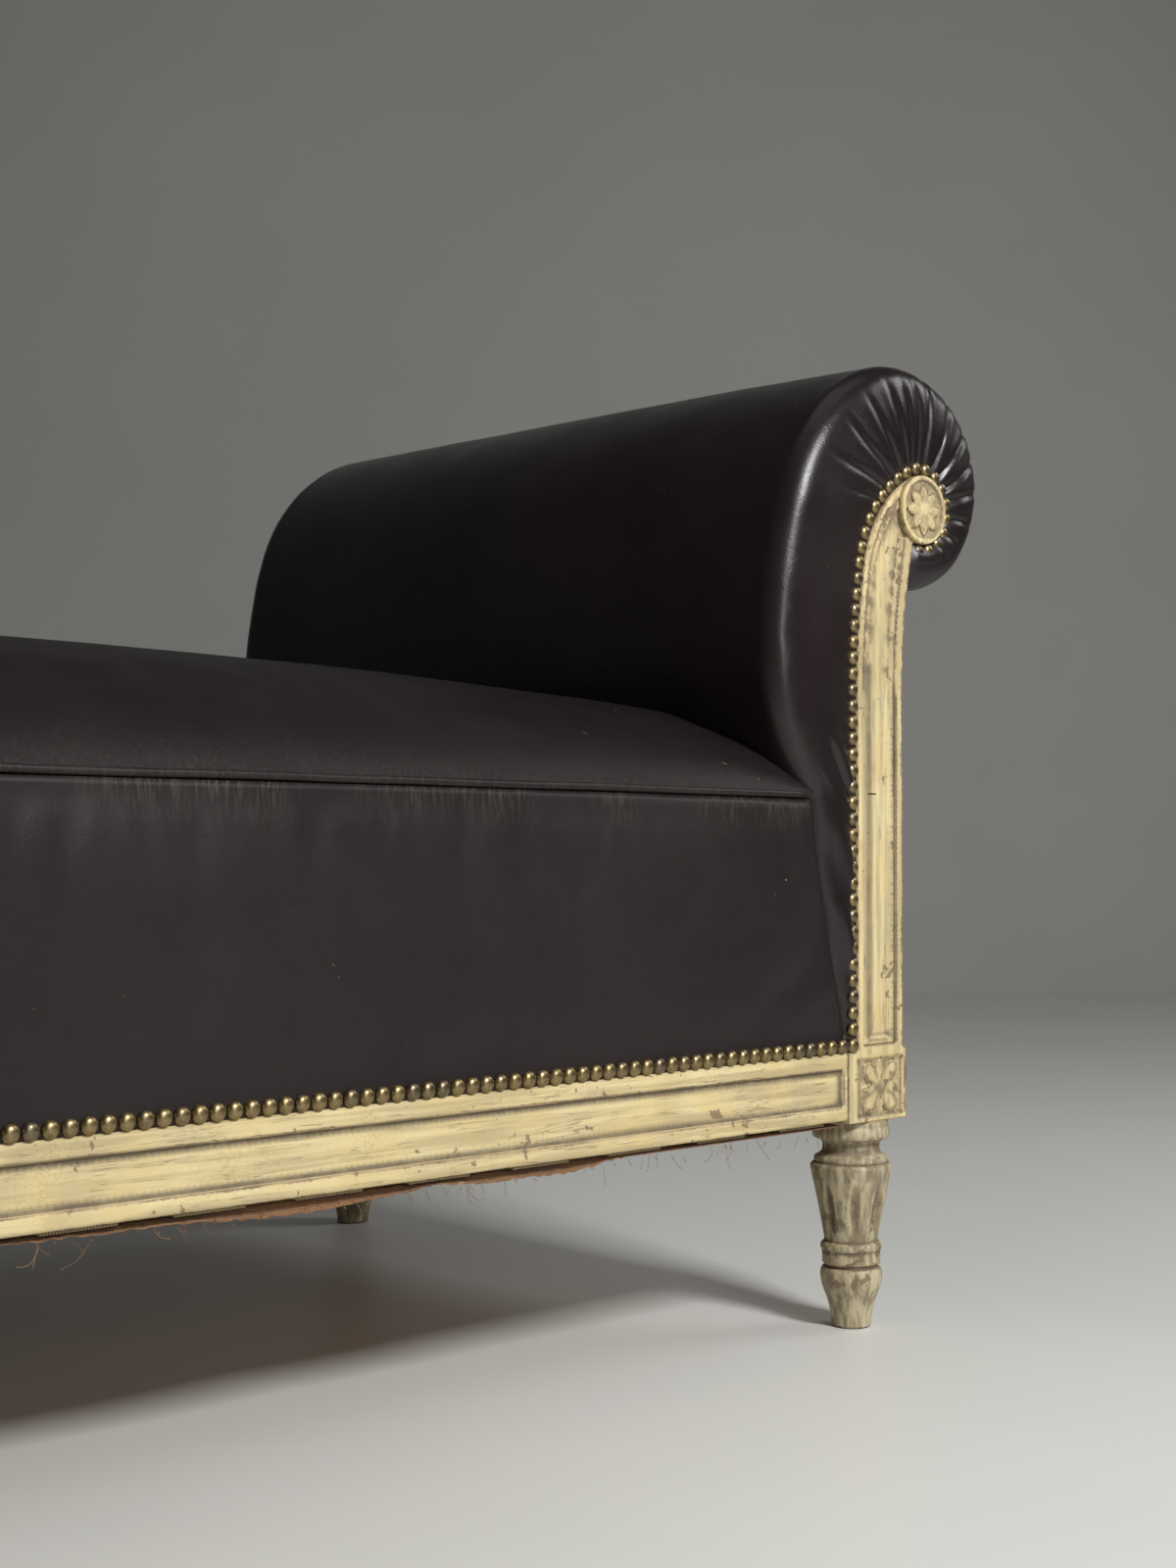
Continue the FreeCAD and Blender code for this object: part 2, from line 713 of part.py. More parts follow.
# Patera: a round disc with a rim, eight petals and a button
def make_patera(label):
    body = new_body(label)
    disc = new_sketch(body, "XZ_Plane", half_deep)
    draw_circle(disc, s["eye_across"], s["eye_height"], s["patera_radius"])
    base = pad(body, disc, s["patera_thick"])
    outside = -(half_deep + s["patera_thick"]).number
    close = s["glue_gap"].number / 2
    rounded = round_edges(body, base, s["patera_thick"] * 0.3,
                          lambda edge: abs(edge.CenterOfMass.y - outside) < close)
    dish = new_sketch(body, "XZ_Plane", half_deep + s["patera_thick"])
    inner = s["patera_radius"] - s["patera_ring_wide"]
    draw_circle(dish, s["eye_across"], s["eye_height"], inner)
    pocket(body, dish, s["patera_petal_rise"] * 0.8)
    floor = half_deep + s["patera_thick"] - s["patera_petal_rise"] * 0.8
    petal = new_sketch(body, "XZ_Plane", floor, s["eye_across"], s["eye_height"])
    half_petal = s["patera_petal_wide"] / 2
    draw(petal, [
        (inner * 0.92, ZERO, inner * 0.62, -half_petal),
        (inner * 0.1, ZERO, inner * 0.62, half_petal),
    ])
    raised = pad(body, petal, s["patera_petal_rise"])
    repeat_round(body, raised, petal, "N_Axis", 8)
    button = new_sketch(body, "XZ_Plane", floor, s["eye_across"], s["eye_height"])
    draw_circle(button, ZERO, ZERO, s["patera_button_radius"])
    pad(body, button, s["patera_petal_rise"] * 1.3)
    stand_at(body, x_head, -half_gap)
    return body


# Glued triangular brace in a corner, notched round the block. Inwards is +X and +Y of its own frame.
def make_corner_brace(label, rail_side, across, deep, mirror_x):
    body = new_body(label)
    side = -1 if mirror_x else 1
    long_inner = s["rail_thick"] - half_deep
    cross_inner = s["rail_thick"] - rail_side
    outline = [
        (half_wide * side, long_inner),
        ((half_wide + s["corner_brace_long"]) * side, long_inner),
        (cross_inner * side, half_deep + s["corner_brace_long"]),
        (cross_inner * side, half_deep),
        (half_wide * side, half_deep),
    ]
    plan = draw(new_sketch(body, "XY_Plane", s["corner_brace_low"]), outline)
    pad(body, plan, s["corner_brace_high"] - s["corner_brace_low"])
    stand_at(body, across, deep)
    return body


def bar_between(label, outline, half_long, across=ZERO):
    # A straight bar along Y with the given XZ outline
    body = new_body(label)
    sketch = draw(new_sketch(body, "XZ_Plane", half_long), outline)
    pad(body, sketch, half_long * 2, True)
    stand_at(body, across, ZERO)
    return body


def tack_tenon_edges():
    middle = s["tack_rail_thick"] / -2
    return middle - s["tenon_thick"] / 2, middle + s["tenon_thick"] / 2


def make_tack_rail(label, low, high):
    body = bar_between(label, rectangle(-s["tack_rail_thick"], low, ZERO, high), post_gap, x_head)
    edge = (high - low) / 4
    left_side, right_side = tack_tenon_edges()
    reach = post_gap + s["cross_tenon_long"]
    tenon = draw(new_sketch(body, "XZ_Plane", reach),
                 rectangle(left_side, low + edge, right_side, high - edge))
    pad(body, tenon, reach * 2, True)
    return body


def make_top_bar(label):
    body = new_body(label)
    thick = draw_circle(new_sketch(body, "XZ_Plane", post_gap),
                        s["eye_across"], s["eye_height"], s["bar_radius"])
    pad(body, thick, post_gap * 2, True)
    reach = post_gap + s["bar_tenon_long"]
    thin = draw_circle(new_sketch(body, "XZ_Plane", reach),
                       s["eye_across"], s["eye_height"], s["bar_tenon_radius"])
    pad(body, thin, reach * 2, True)
    stand_at(body, x_head, ZERO)
    return body


# The line that the head's webbing follows: up the tacking rails, then slanting to touch the top bar
def web_line(out):
    left = -s["tack_rail_thick"] - out
    knee = s["tack_rail_high"]
    run = (s["eye_across"] - left).number
    rise = (s["eye_height"] - knee).number
    reach = s["bar_radius"] + out
    lean = math.atan2(rise, run) + math.asin(reach.number / math.hypot(run, rise)) + math.pi / 2
    top = (s["eye_across"] + reach * math.cos(lean), s["eye_height"] + reach * math.sin(lean))
    return (left, s["foot_rail_low"]), (left, knee), top


def web_band(inside, outside):
    near, far = web_line(inside), web_line(outside)
    return [near[0], near[1], near[2], far[2], far[1], far[0]]


# Head profile in leather, seen from the front, anticlockwise from the foot of its inner face
back_line = s["stile_right"] - s["rebate_deep"]
under_turn = math.radians(251)
under_x = s["eye_across"] + eye_ring * math.cos(under_turn)
under_z = s["eye_height"] + eye_ring * math.sin(under_turn)


def back_curve(out):
    # The outside leather's line: its foot, the start of the curve, a point on the curve and its top
    line = back_line + out
    run, climb = under_x - back_line, under_z - s["curve_low"]
    return [
        (line, s["block_top"] + s["soft_gap"]),
        (line, s["curve_low"]),
        (line + run * 0.167, s["curve_low"] + climb * 0.409),
        (line + run * 0.6, s["curve_low"] + climb * 0.775),
    ]


ROLL_SHARES = ((0.839, -0.317), (0.835, 0.703), (-0.031, 0.935), (-0.716, 0.102), (-0.89, -1.133))
ROLL_START = math.radians(-10.3)


def arc_between(start, end, turn):
    # An arc as an outline's corner. The turn is the angle between its chord and its direction at
    # either end.
    run, climb = end[0] - start[0], end[1] - start[1]
    bulge = math.tan(turn / 2) / 2
    return (*end, (start[0] + end[0]) / 2 + climb * bulge, (start[1] + end[1]) / 2 - run * bulge)


def chord_angle(start, end):
    return math.atan2((end[1] - start[1]).number, (end[0] - start[0]).number)


def head_outline(inset):
    left = s["soft_gap"] - half_wide
    low = s["block_top"] + s["soft_gap"]
    seam = s["seam_foot"] - s["seam_rise"]
    tuck = -half_wide - s["roll_reach"] * 0.335
    rise = s["head_high"] - s["eye_height"]
    back_low, back_bend, back_via, back_top = back_curve(s["glue_gap"] + s["leather_thick"])
    joints = [back_top]
    joints += [(s["roll_reach"] * out, s["eye_height"] + rise * up) for out, up in ROLL_SHARES]
    joints.append((tuck, seam))
    headings, roll = [ROLL_START], []
    for start, end in zip(joints, joints[1:]):
        turn = (chord_angle(start, end) - headings[-1]) % (math.pi * 2)
        headings.append(headings[-1] + turn * 2)
        roll.append(arc_between(start, end, turn))
    inset_outline = grown([
        (left, low, left + (tuck - left) * 0.62, low + (seam - low) * 0.5),
        back_low,
        back_bend,
        (*back_top, *back_via),
        *roll,
    ], inset * -1)
    # The roll's arcs run into each other, so each joint moves in square to the outline and they
    # stay tangent
    inner = [
        (across - inset * math.sin(heading), up + inset * math.cos(heading))
        for (across, up), heading in zip(joints, headings)
    ]
    inner[0], inner[-1] = inset_outline[3][:2], inset_outline[-1][:2]
    first_turn = (headings[1] - chord_angle(inner[0], inner[1])) % (math.pi * 2)
    arcs = [arc_between(inner[0], inner[1], first_turn)]
    for start, end, heading in zip(inner[1:], inner[2:], headings[1:]):
        arcs.append(arc_between(start, end, (chord_angle(start, end) - heading) % (math.pi * 2)))
    return [*inset_outline[:4], *arcs]


def head_solid(label, inset, rounded=True):
    body = new_body(label)
    depth = leather_face - inset
    outline = head_outline(inset)
    sketch = draw(new_sketch(body, "XZ_Plane", depth), outline)
    block = pad(body, sketch, depth * 2, True)
    stand_at(body, x_head, ZERO)
    if not rounded:
        return body
    end, close = depth.number, s["glue_gap"].number / 2
    back_at, floor = plain(outline[1][0]), s["ledge_top"].number

    def end_edge(edge):
        middle = edge.CenterOfMass
        at_end = abs(abs(middle.y) - end) < close
        at_back = all(abs(vertex.X - back_at) < close for vertex in edge.Vertexes)
        return at_end and middle.z > floor and not at_back

    round_edges(body, block, s["head_end_round"] - inset, end_edge)
    return body


# Seat crown: sections across the seat from the foot end to the head, each a dome on straight sides
STATION_SHARES = (0.0, 0.006, 0.02, 0.05, 0.11, 0.25, 0.5, 0.78, 1.0)
WIDTH_SHARES = (0.93, 0.966, 0.992, 1.0, 1.0, 1.0, 1.0, 1.0, 1.0)
HEIGHT_SHARES = (0.16, 0.3, 0.46, 0.66, 0.84, 0.96, 1.0, 0.95, 0.78)


def seam_height(from_foot):
    # The seam is level at the foot and falls along an arc towards the head
    run = s["leg_gap_long"]
    return s["seam_foot"] - s["seam_rise"] * (from_foot * from_foot / (run * run))


def crown_loft(label, inset):
    sections = []
    start = foot_leather + inset
    run = x_head - start
    for share, width_share, height_share in zip(STATION_SHARES, WIDTH_SHARES, HEIGHT_SHARES):
        section = doc.addObject("Sketcher::SketchObject", "crown_section")
        across = start + run * share
        section.Placement = FreeCAD.Placement(V(across.number, 0, 0), FreeCAD.Rotation(V(1, 1, 1), 120))
        section.setExpression("Placement.Base.x", across.text)
        half = (leather_face - inset) * width_share
        seam = seam_height(run * share)
        rise = s["crown_high"] * height_share - inset
        low = seam - s["overrun"]
        shoulder, shoulder_up = half * 0.9, seam + rise * 0.42
        draw(section, [
            (-half, low),
            (half, low),
            (half, seam),
            (shoulder, shoulder_up, half * 0.972, seam + rise * 0.26),
            (-shoulder, shoulder_up, ZERO, seam + rise),
            (-half, seam, -half * 0.972, seam + rise * 0.26),
        ])
        sections.append(section)
    loft = doc.addObject("Part::Loft", label)
    loft.Sections = sections
    loft.Solid = True
    loft.Ruled = False
    return loft


def seam_block(label, shift, limit, above):
    # A slab wider than the seat, bounded by the seam's arc: all that lies above it, or all below it
    body = new_body(label)
    wide = leather_face + s["overrun"]
    start = foot_leather - s["overrun"]
    end = x_head + s["roll_reach"]

    def on_seam(across):
        return seam_height(across - foot_leather) + shift

    middle = (start + end) / 2
    arc = (middle, on_seam(middle))
    if above:
        outline = [
            (start, on_seam(start)),
            (end, on_seam(end), *arc),
            (end, limit),
            (start, limit),
        ]
    else:
        outline = [
            (start, limit),
            (end, limit),
            (end, on_seam(end)),
            (start, on_seam(start), *arc),
        ]
    sketch = draw(new_sketch(body, "XZ_Plane", wide), outline)
    pad(body, sketch, wide * 2, True)
    return body


def plan_block(label, inset, low, high, end=x_head):
    # The seat's plan with its two rounded foot corners
    body = new_body(label)
    half = leather_face - inset
    start = foot_leather + inset
    turn = s["seat_corner_radius"] - inset
    bulge = turn * (1 - math.sqrt(0.5))
    sketch = draw(new_sketch(body, "XY_Plane", low), [
        (start, half - turn, start + bulge, half - bulge),
        (start, turn - half),
        (start + turn, -half, start + bulge, bulge - half),
        (end, -half),
        (end, half),
        (start + turn, half),
    ])
    pad(body, sketch, high - low)
    return body


def box(label, low, high):
    # A plain block between two corners, each given as (x, y, z)
    body = new_body(label)
    plan = draw(new_sketch(body, "XY_Plane", low[2]), rectangle(low[0], low[1], high[0], high[1]))
    pad(body, plan, high[2] - low[2])
    return body


# Nails: the dome, and a row of them along a line or an arc on a face
def make_nail():
    body = new_body("nail")
    radius, high = s["nail_radius"], s["nail_high"]
    draw(new_sketch(body, "XZ_Plane"), [
        (ZERO, ZERO),
        (radius, ZERO),
        (radius * 0.76, high * 0.66, radius * 0.95, high * 0.36),
        (radius * 0.2, high, radius * 0.49, high * 0.92),
        (ZERO, high),
    ])
    revolve(body, body.Group[-1])
    return body


def point(across, deep, up):
    return V(plain(across), plain(deep), plain(up))


def chain(points):
    # A wire through corners. A corner given as a pair is reached by an arc through the pair's first
    # point.
    edges = []
    last = points[0]
    for step in points[1:]:
        if isinstance(step, tuple):
            edges.append(Part.Arc(last, step[0], step[1]).toShape())
            last = step[1]
        else:
            edges.append(Part.LineSegment(last, step).toShape())
            last = step
    return Part.Wire(edges)


def nail_row(label, wire, sideways, first=0, last=0):
    # Domes at the nail's pitch, to the nearest whole number. Without a sideways direction they face
    # the front or back. With one they are square to it and to the wire. A few can be left off at
    # either end.
    count = max(1, round(wire.Length / s["nail_pitch"].number))
    spots = wire.discretize(Number=count + 1)
    domes = []
    for number in range(first, count + 1 - last):
        spot = spots[number]
        outwards = V(0, spot.y, 0)
        if sideways is not None:
            outwards = (spots[min(number + 1, count)] - spots[max(number - 1, 0)]).cross(sideways)
            if outwards.dot(spot - V(0, 0, spot.z)) < 0:
                outwards = outwards * -1
        dome = nail.Shape.copy()
        dome.Placement = FreeCAD.Placement(spot, FreeCAD.Rotation(Z_AXIS, outwards))
        domes.append(dome)
    return feature_from(label, Part.makeCompound(domes))


def copies(label, shape, places):
    return feature_from(label, Part.makeCompound([moved(shape, *place) for place in places]))


def spread(low, high, count):
    # Centres of equal shares of a span
    step = (plain(high) - plain(low)) / count
    return [plain(low) + step * (number + 0.5) for number in range(count)]


# The pieces, from the floor up
for end_name, across in (("foot", x_foot), ("head", x_head)):
    for side_name, deep in (("front", -half_gap), ("back", half_gap)):
        make_leg(f"leg_{side_name}_{end_name}", across, deep)

post_front_head = make_head_post("post_front_head")
post_front_foot = make_foot_post("post_front_foot")
post_back_head = mirrored(post_front_head, "post_back_head")
mirrored(post_front_foot, "post_back_foot")

rail_length = s["leg_gap_long"] - s["block_wide"]
cross_length = s["leg_gap_wide"] - s["block_deep"]
x_middle = (x_head + x_foot) / 2
rail_front = make_rail("rail_front", rail_length, half_deep, s["rail_tenon_long"], x_middle, -half_gap, 0)
mirrored(rail_front, "rail_back")
make_rail("rail_foot", cross_length, half_wide, s["cross_tenon_long"], x_foot, ZERO, -90)
make_rail("rail_head", cross_length, s["stile_right"], s["cross_tenon_long"], x_head, ZERO, 90)

patera_front = make_patera("patera_front")
mirrored(patera_front, "patera_back")

brace_foot = make_corner_brace("corner_brace_front_foot", half_wide, x_foot, -half_gap, False)
brace_head = make_corner_brace("corner_brace_front_head", s["stile_right"], x_head, -half_gap, True)
mirrored(brace_foot, "corner_brace_back_foot")
mirrored(brace_head, "corner_brace_back_head")

inner_rail = front_face - s["rail_thick"]
for name, share in (("foot", 1 / 3), ("head", 2 / 3)):
    middle = x_foot + s["leg_gap_long"] * share
    half_brace = s["cross_brace_wide"] / 2
    brace = rectangle(middle - half_brace, s["rail_low"], middle + half_brace, s["cross_brace_high"])
    bar_between(f"cross_brace_{name}", brace, inner_rail)

make_top_bar("head_top_bar")
make_tack_rail("head_tacking_rail", s["tack_rail_low"], s["tack_rail_high"])
make_tack_rail("head_foot_rail", s["foot_rail_low"], s["foot_rail_high"])

# Webbing under the seat: long strips tacked under the end rails, cross strips woven below them
web_low = s["rail_low"] - s["web_thick"]
inner_foot = x_foot - half_wide + s["rail_thick"]
inner_head = x_head + s["stile_right"] - s["rail_thick"]
tack_in = s["rail_thick"] * 0.7
half_web = s["web_wide"] / 2
long_strip = box("long_strip", (inner_foot - tack_in, -half_web, web_low),
                 (inner_head + tack_in, half_web, s["rail_low"]))
cross_strip = box("cross_strip", (-half_web, -inner_rail - tack_in, web_low - s["web_thick"]),
                  (half_web, inner_rail + tack_in, web_low))
doc.recompute()
LONG_STRIPS, CROSS_STRIPS, HEAD_STRIPS = 6, 17, 6
foot_in, head_in = x_foot + half_wide, x_head - half_wide
long_places = [(0, deep, 0) for deep in spread(-post_gap, post_gap, LONG_STRIPS)]
cross_places = [(across, 0, 0) for across in spread(foot_in, head_in, CROSS_STRIPS)]
copies("seat_webbing_long", long_strip.Shape, long_places)
copies("seat_webbing_cross", cross_strip.Shape, cross_places)

# Bottom hessian, notched round the legs
hem_x, hem_y = half_wide - s["rebate_deep"] * 2, front_face - s["rebate_deep"] * 2
sheet_low = web_low - s["web_thick"] - s["hessian_thick"]
collar_in = half_gap - s["collar_radius"] - s["soft_gap"]
foot_edge, head_edge = x_foot - hem_x, x_head + s["stile_right"] - s["rebate_deep"] * 2
bottom = new_body("bottom_hessian")
notched = draw(new_sketch(bottom, "XY_Plane", sheet_low), [
    (foot_in, -hem_y),
    (head_in, -hem_y),
    (head_in, -collar_in),
    (head_edge, -collar_in),
    (head_edge, collar_in),
    (head_in, collar_in),
    (head_in, hem_y),
    (foot_in, hem_y),
    (foot_in, collar_in),
    (foot_edge, collar_in),
    (foot_edge, -collar_in),
    (foot_in, -collar_in),
])
pad(bottom, notched, s["hessian_thick"])

# Seat springs: one coil, repeated in the three bays between the cross braces
spring_low = s["rail_low"] + s["spring_wire_radius"] + s["soft_gap"]
spring_high = s["cavity_top"] - s["spring_wire_radius"] - s["soft_gap"]


def coil_shape():
    # Each half turn is an arc tilted by its own rise, so the wire runs on without a kink
    radius, height = plain(s["spring_radius"]), plain(spring_high - spring_low)
    count = 2 * round(height / plain(s["spring_pitch"]))
    rise = height / count
    wide = math.hypot(radius, rise / 2)
    places = [V(radius, 0, 0)]
    for turn in range(count):
        side = -1 if turn % 2 else 1
        places.append((V(0, side * wide, (turn + 0.5) * rise), V(-side * radius, 0, (turn + 1) * rise)))
    ring = Part.Circle(places[0], Y_AXIS, plain(s["spring_wire_radius"]))
    return chain(places).makePipeShell([Part.Wire([ring.toShape()])], True, False)


BAYS, BAY_COLUMNS, SPRING_ROWS = 3, 2, 3
brace_middles = [x_foot + s["leg_gap_long"] * share for share in (1 / 3, 2 / 3)]
bay_ends = [inner_foot, *brace_middles, x_head - half_wide - s["spring_radius"]]
spring_places = [
    (across, deep, spring_low.number)
    for bay in range(BAYS)
    for across in spread(bay_ends[bay], bay_ends[bay + 1], BAY_COLUMNS)
    for deep in spread(-inner_rail, inner_rail, SPRING_ROWS)
]
copies("seat_springs", coil_shape(), spring_places)

# The spring hessian is a tray turned over the springs, standing on the rails
tuck_end = x_head - half_wide - s["roll_reach"] * 0.335
cavity_end = tuck_end - s["cavity_wall"] / 2


def cavity(label, inset, top):
    half = leather_face - s["cavity_wall"] - inset
    start = foot_leather + s["cavity_wall"] + inset
    return box(label, (start, -half, s["rail_low"]), (cavity_end - inset, half, top))


hessian_low = box("below_ledge", (foot_leather, -front_face, s["rail_low"] - s["overrun"]),
                  (x_head, front_face, s["ledge_top"] + s["soft_gap"]))
tray_outer = cavity("tray_outer", s["soft_gap"], s["cavity_top"] + s["hessian_thick"])
tray_inner = cavity("tray_inner", s["soft_gap"] + s["hessian_thick"], s["cavity_top"])
cut_all("spring_hessian", tray_outer, [tray_inner, hessian_low])

# Head solids that the seat and the covers are cut by
head_clear = head_solid("head_clear", -s["soft_gap"], False)

# Seat: stuffing with its crown, wadding, leather top, border and piping
inner_skin = s["leather_thick"] + s["soft_gap"]
wadding_skin = inner_skin + s["wadding_thick"]
groove = s["piping_radius"] + s["soft_gap"]
high_limit = s["seam_foot"] + s["crown_high"]
below_cover = seam_block("below_cover", groove, s["rail_low"], False)
above_seam = seam_block("above_seam", ZERO, high_limit, True)
above_border = seam_block("above_border", -groove, high_limit, True)

cut_all("seat_top_cover", crown_loft("cover_outer", ZERO),
        [crown_loft("cover_inner", s["leather_thick"]), below_cover, head_clear])
cut_all("seat_wadding", crown_loft("wadding_outer", inner_skin),
        [crown_loft("wadding_inner", wadding_skin), below_cover, head_clear])

seat_block = plan_block("stuffing_block", inner_skin, s["ledge_top"] + s["soft_gap"], high_limit)
seat_body = boolean("Fuse", "stuffing_body", boolean("Cut", "stuffing_base", seat_block, above_seam),
                    crown_loft("stuffing_crown", wadding_skin + s["soft_gap"]))

piping_y = leather_face - s["piping_sunk"]
piping_x = foot_leather + s["piping_sunk"]
corner = s["seat_corner_radius"]
corner_x, corner_y = foot_leather + corner, leather_face - corner
turn_in = (corner - s["piping_sunk"]) * math.sqrt(0.5)


def seam_at(across):
    return seam_height(across - foot_leather)


def piping_path(half, far):
    # Along the front from the head, round the foot corners and back
    mid = (x_head + corner_x) / 2
    level = seam_at(piping_x)
    return chain([
        point(far, -half, seam_at(far)),
        (point(mid, -half, seam_at(mid)), point(corner_x, -half, level)),
        (point(corner_x - turn_in, -corner_y - turn_in, level), point(piping_x, -corner_y, level)),
        point(piping_x, corner_y, level),
        (point(corner_x - turn_in, corner_y + turn_in, level), point(corner_x, half, level)),
        (point(mid, half, seam_at(mid)), point(far, half, seam_at(far))),
    ])


def piping_tube(label, radius, far):
    path = piping_path(piping_y, far)
    start = path.Edges[0]
    ring = Part.Circle(start.Vertexes[0].Point, start.tangentAt(start.FirstParameter), plain(radius))
    return feature_from(label, path.makePipeShell([Part.Wire([ring.toShape()])], True, False))


piping_tube("seat_piping", s["piping_radius"], tuck_end - s["piping_radius"])
cut_all("seat_stuffing", seat_body,
        [cavity("seat_cavity", ZERO, s["cavity_top"] + s["hessian_thick"] + s["soft_gap"]),
         piping_tube("piping_room", groove, x_head - half_wide), head_clear])

border_low = s["block_top"] + s["soft_gap"]
border_outer = plan_block("border_outer", ZERO, border_low, high_limit)
border_inner = plan_block("border_inner", s["leather_thick"], border_low - s["overrun"],
                          high_limit + s["overrun"], x_head + s["overrun"])
border = cut_all("border_band", border_outer, [border_inner, above_border, head_clear])
reach_y = front_face + s["overrun"]
front_half = box("front_half", (corner_x, -reach_y, s["rail_low"]), (x_head, ZERO, high_limit))
foot_half = box("foot_half", (foot_leather - s["overrun"], -reach_y, s["rail_low"]),
                (corner_x, reach_y, high_limit))
border_front = boolean("Common", "seat_border_front", border, front_half)
boolean("Common", "seat_border_foot", border, foot_half)
mirrored(border_front, "seat_border_back")

# Head: webbing, hessian, stuffing and leather
strip = new_body("head_strip")
web_plan = draw(new_sketch(strip, "XZ_Plane", half_web), web_band(ZERO, s["web_thick"]))
pad(strip, web_plan, s["web_wide"], True)
stand_at(strip, x_head, ZERO)
doc.recompute()
feature_from("head_webbing", Part.makeCompound([
    strip.Shape.translated(V(0, deep, 0)) for deep in spread(-post_gap, post_gap, HEAD_STRIPS)
]))
hessian_out = s["web_thick"] + s["hessian_thick"]
bar_between("head_hessian", web_band(s["web_thick"], hessian_out), post_gap - s["soft_gap"], x_head)


def post_room(label, left, right, ring, back_to):
    # The space a post takes through the soft parts
    body = new_body(label)
    depth = half_deep + s["overrun"]
    sketch = draw(new_sketch(body, "XZ_Plane", depth), post_outline(left, right, ring, s["rebate_deep"]))
    pad(body, sketch, depth + back_to, True)
    stand_at(body, x_head, -half_gap)
    return [body, mirrored(body, f"{label}_mirrored")]


gap = s["soft_gap"]
room_right = s["stile_right"] + gap
core_room = post_room("core_room", half_wide + gap, room_right, eye_ring + gap, half_deep + gap)
face_room = post_room("face_room", stile_left + gap, room_right, s["patera_radius"] + gap, half_deep)
web_foot, web_knee, web_top = web_line(hessian_out + gap)
eye = (s["eye_across"], s["eye_height"])
behind = bar_between("behind_webbing", [
    (web_foot[0], s["rail_low"]),
    (s["eye_across"], s["rail_low"]),
    (s["eye_across"], s["curve_low"]),
    (s["eye_across"] * 0.8, s["eye_height"] - s["bar_radius"] * 2),
    (s["eye_across"], s["eye_height"] - s["bar_radius"]),
    eye,
    web_top,
    web_knee,
], post_gap + gap, x_head)
bar_room = new_body("bar_room")
bar_round = new_sketch(bar_room, "XZ_Plane", post_gap + gap)
pad(bar_room, draw_circle(bar_round, *eye, s["bar_radius"] + hessian_out + gap),
    (post_gap + gap) * 2, True)
stand_at(bar_room, x_head, ZERO)
low_end = x_head - s["roll_reach"]
under_stuffing = box("under_stuffing", (low_end, -reach_y, s["rail_low"]),
                     (x_head + s["roll_reach"], reach_y, s["ledge_top"] + gap))
posts = [post_front_head, post_back_head]
cut_all("head_stuffing", head_solid("head_filling", inner_skin),
        [*core_room, *posts, behind, bar_room, under_stuffing])

under_cover = box("under_cover", (low_end, -rebated_face, s["rail_low"]),
                  (x_head + s["roll_reach"], rebated_face, s["ledge_top"] + gap))
lip_x, lip_z = back_curve(s["glue_gap"] + s["leather_thick"] + gap)[3]
back_room = bar_between("back_room", [
    (ZERO, s["rail_low"]),
    (s["roll_reach"], s["rail_low"]),
    (s["roll_reach"], lip_z + lip_x - s["roll_reach"]),
    (ZERO, lip_z + lip_x),
], reach_y, x_head)
cut_all("head_inside_cover", head_solid("head_leather", ZERO),
        [head_solid("head_hollow", s["leather_thick"]), *face_room, under_cover, back_room, *posts])

# Outside leather, on the posts' back rebates, from the head rail up to the roll's underside
near_low, near_curve, near_via, near_top = back_curve(s["glue_gap"])
far_low, far_curve, far_via, far_top = back_curve(s["glue_gap"] + s["leather_thick"])
outside_half = post_gap + s["back_rebate_wide"] - gap
bar_between("head_outside_cover", [
    near_low,
    far_low,
    far_curve,
    (*far_top, *far_via),
    near_top,
    (*near_curve, *near_via),
], outside_half, x_head)

# Nails
nail = make_nail()
doc.recompute()
nail_z = s["block_top"] + s["nail_radius"]
nail_left = stile_left + s["nail_radius"]
row_start = point(corner_x, -leather_face, nail_z)
row_end = point(x_head - nail_left, -leather_face, nail_z)
front_nails = nail_row("nails_rail_front", chain([row_start, row_end]), None)
mirrored(front_nails, "nails_rail_back")

bulge = corner * (1 - math.sqrt(0.5))
foot_path = chain([
    point(corner_x, -leather_face, nail_z),
    (point(foot_leather + bulge, bulge - leather_face, nail_z), point(foot_leather, -corner_y, nail_z)),
    point(foot_leather, corner_y, nail_z),
    (point(foot_leather + bulge, leather_face - bulge, nail_z), point(corner_x, leather_face, nail_z)),
])
nail_row("nails_rail_foot", foot_path, Z_AXIS, 1, 1)


def on_post(across, up):
    return point(x_head + across, -leather_face, up)


radius = s["nail_radius"]
post_line = post_outline(nail_left, s["stile_right"], s["patera_radius"] + radius, radius)
(top_x, top_z, side_x, side_z), left_bend, left_curve = post_line[5], post_line[6], post_line[7]
far_x, far_z = post_line[4][0], post_line[4][1]
last_turn, low_turn = math.radians(-94), math.radians(-45)
ring = s["patera_radius"] + radius
post_path = chain([
    on_post(-nail_left, nail_z),
    on_post(left_curve[0], left_curve[1]),
    (on_post(left_curve[2], left_curve[3]), on_post(left_bend[0], left_bend[1])),
    (on_post(left_bend[2], left_bend[3]), on_post(top_x, top_z)),
    (on_post(side_x, side_z), on_post(far_x, far_z)),
    (on_post(eye[0] + ring * math.cos(low_turn), eye[1] + ring * math.sin(low_turn)),
     on_post(eye[0] + ring * math.cos(last_turn), eye[1] + ring * math.sin(last_turn))),
])
post_nails = nail_row("nails_post_front", post_path, None, 1)
mirrored(post_nails, "nails_post_back")

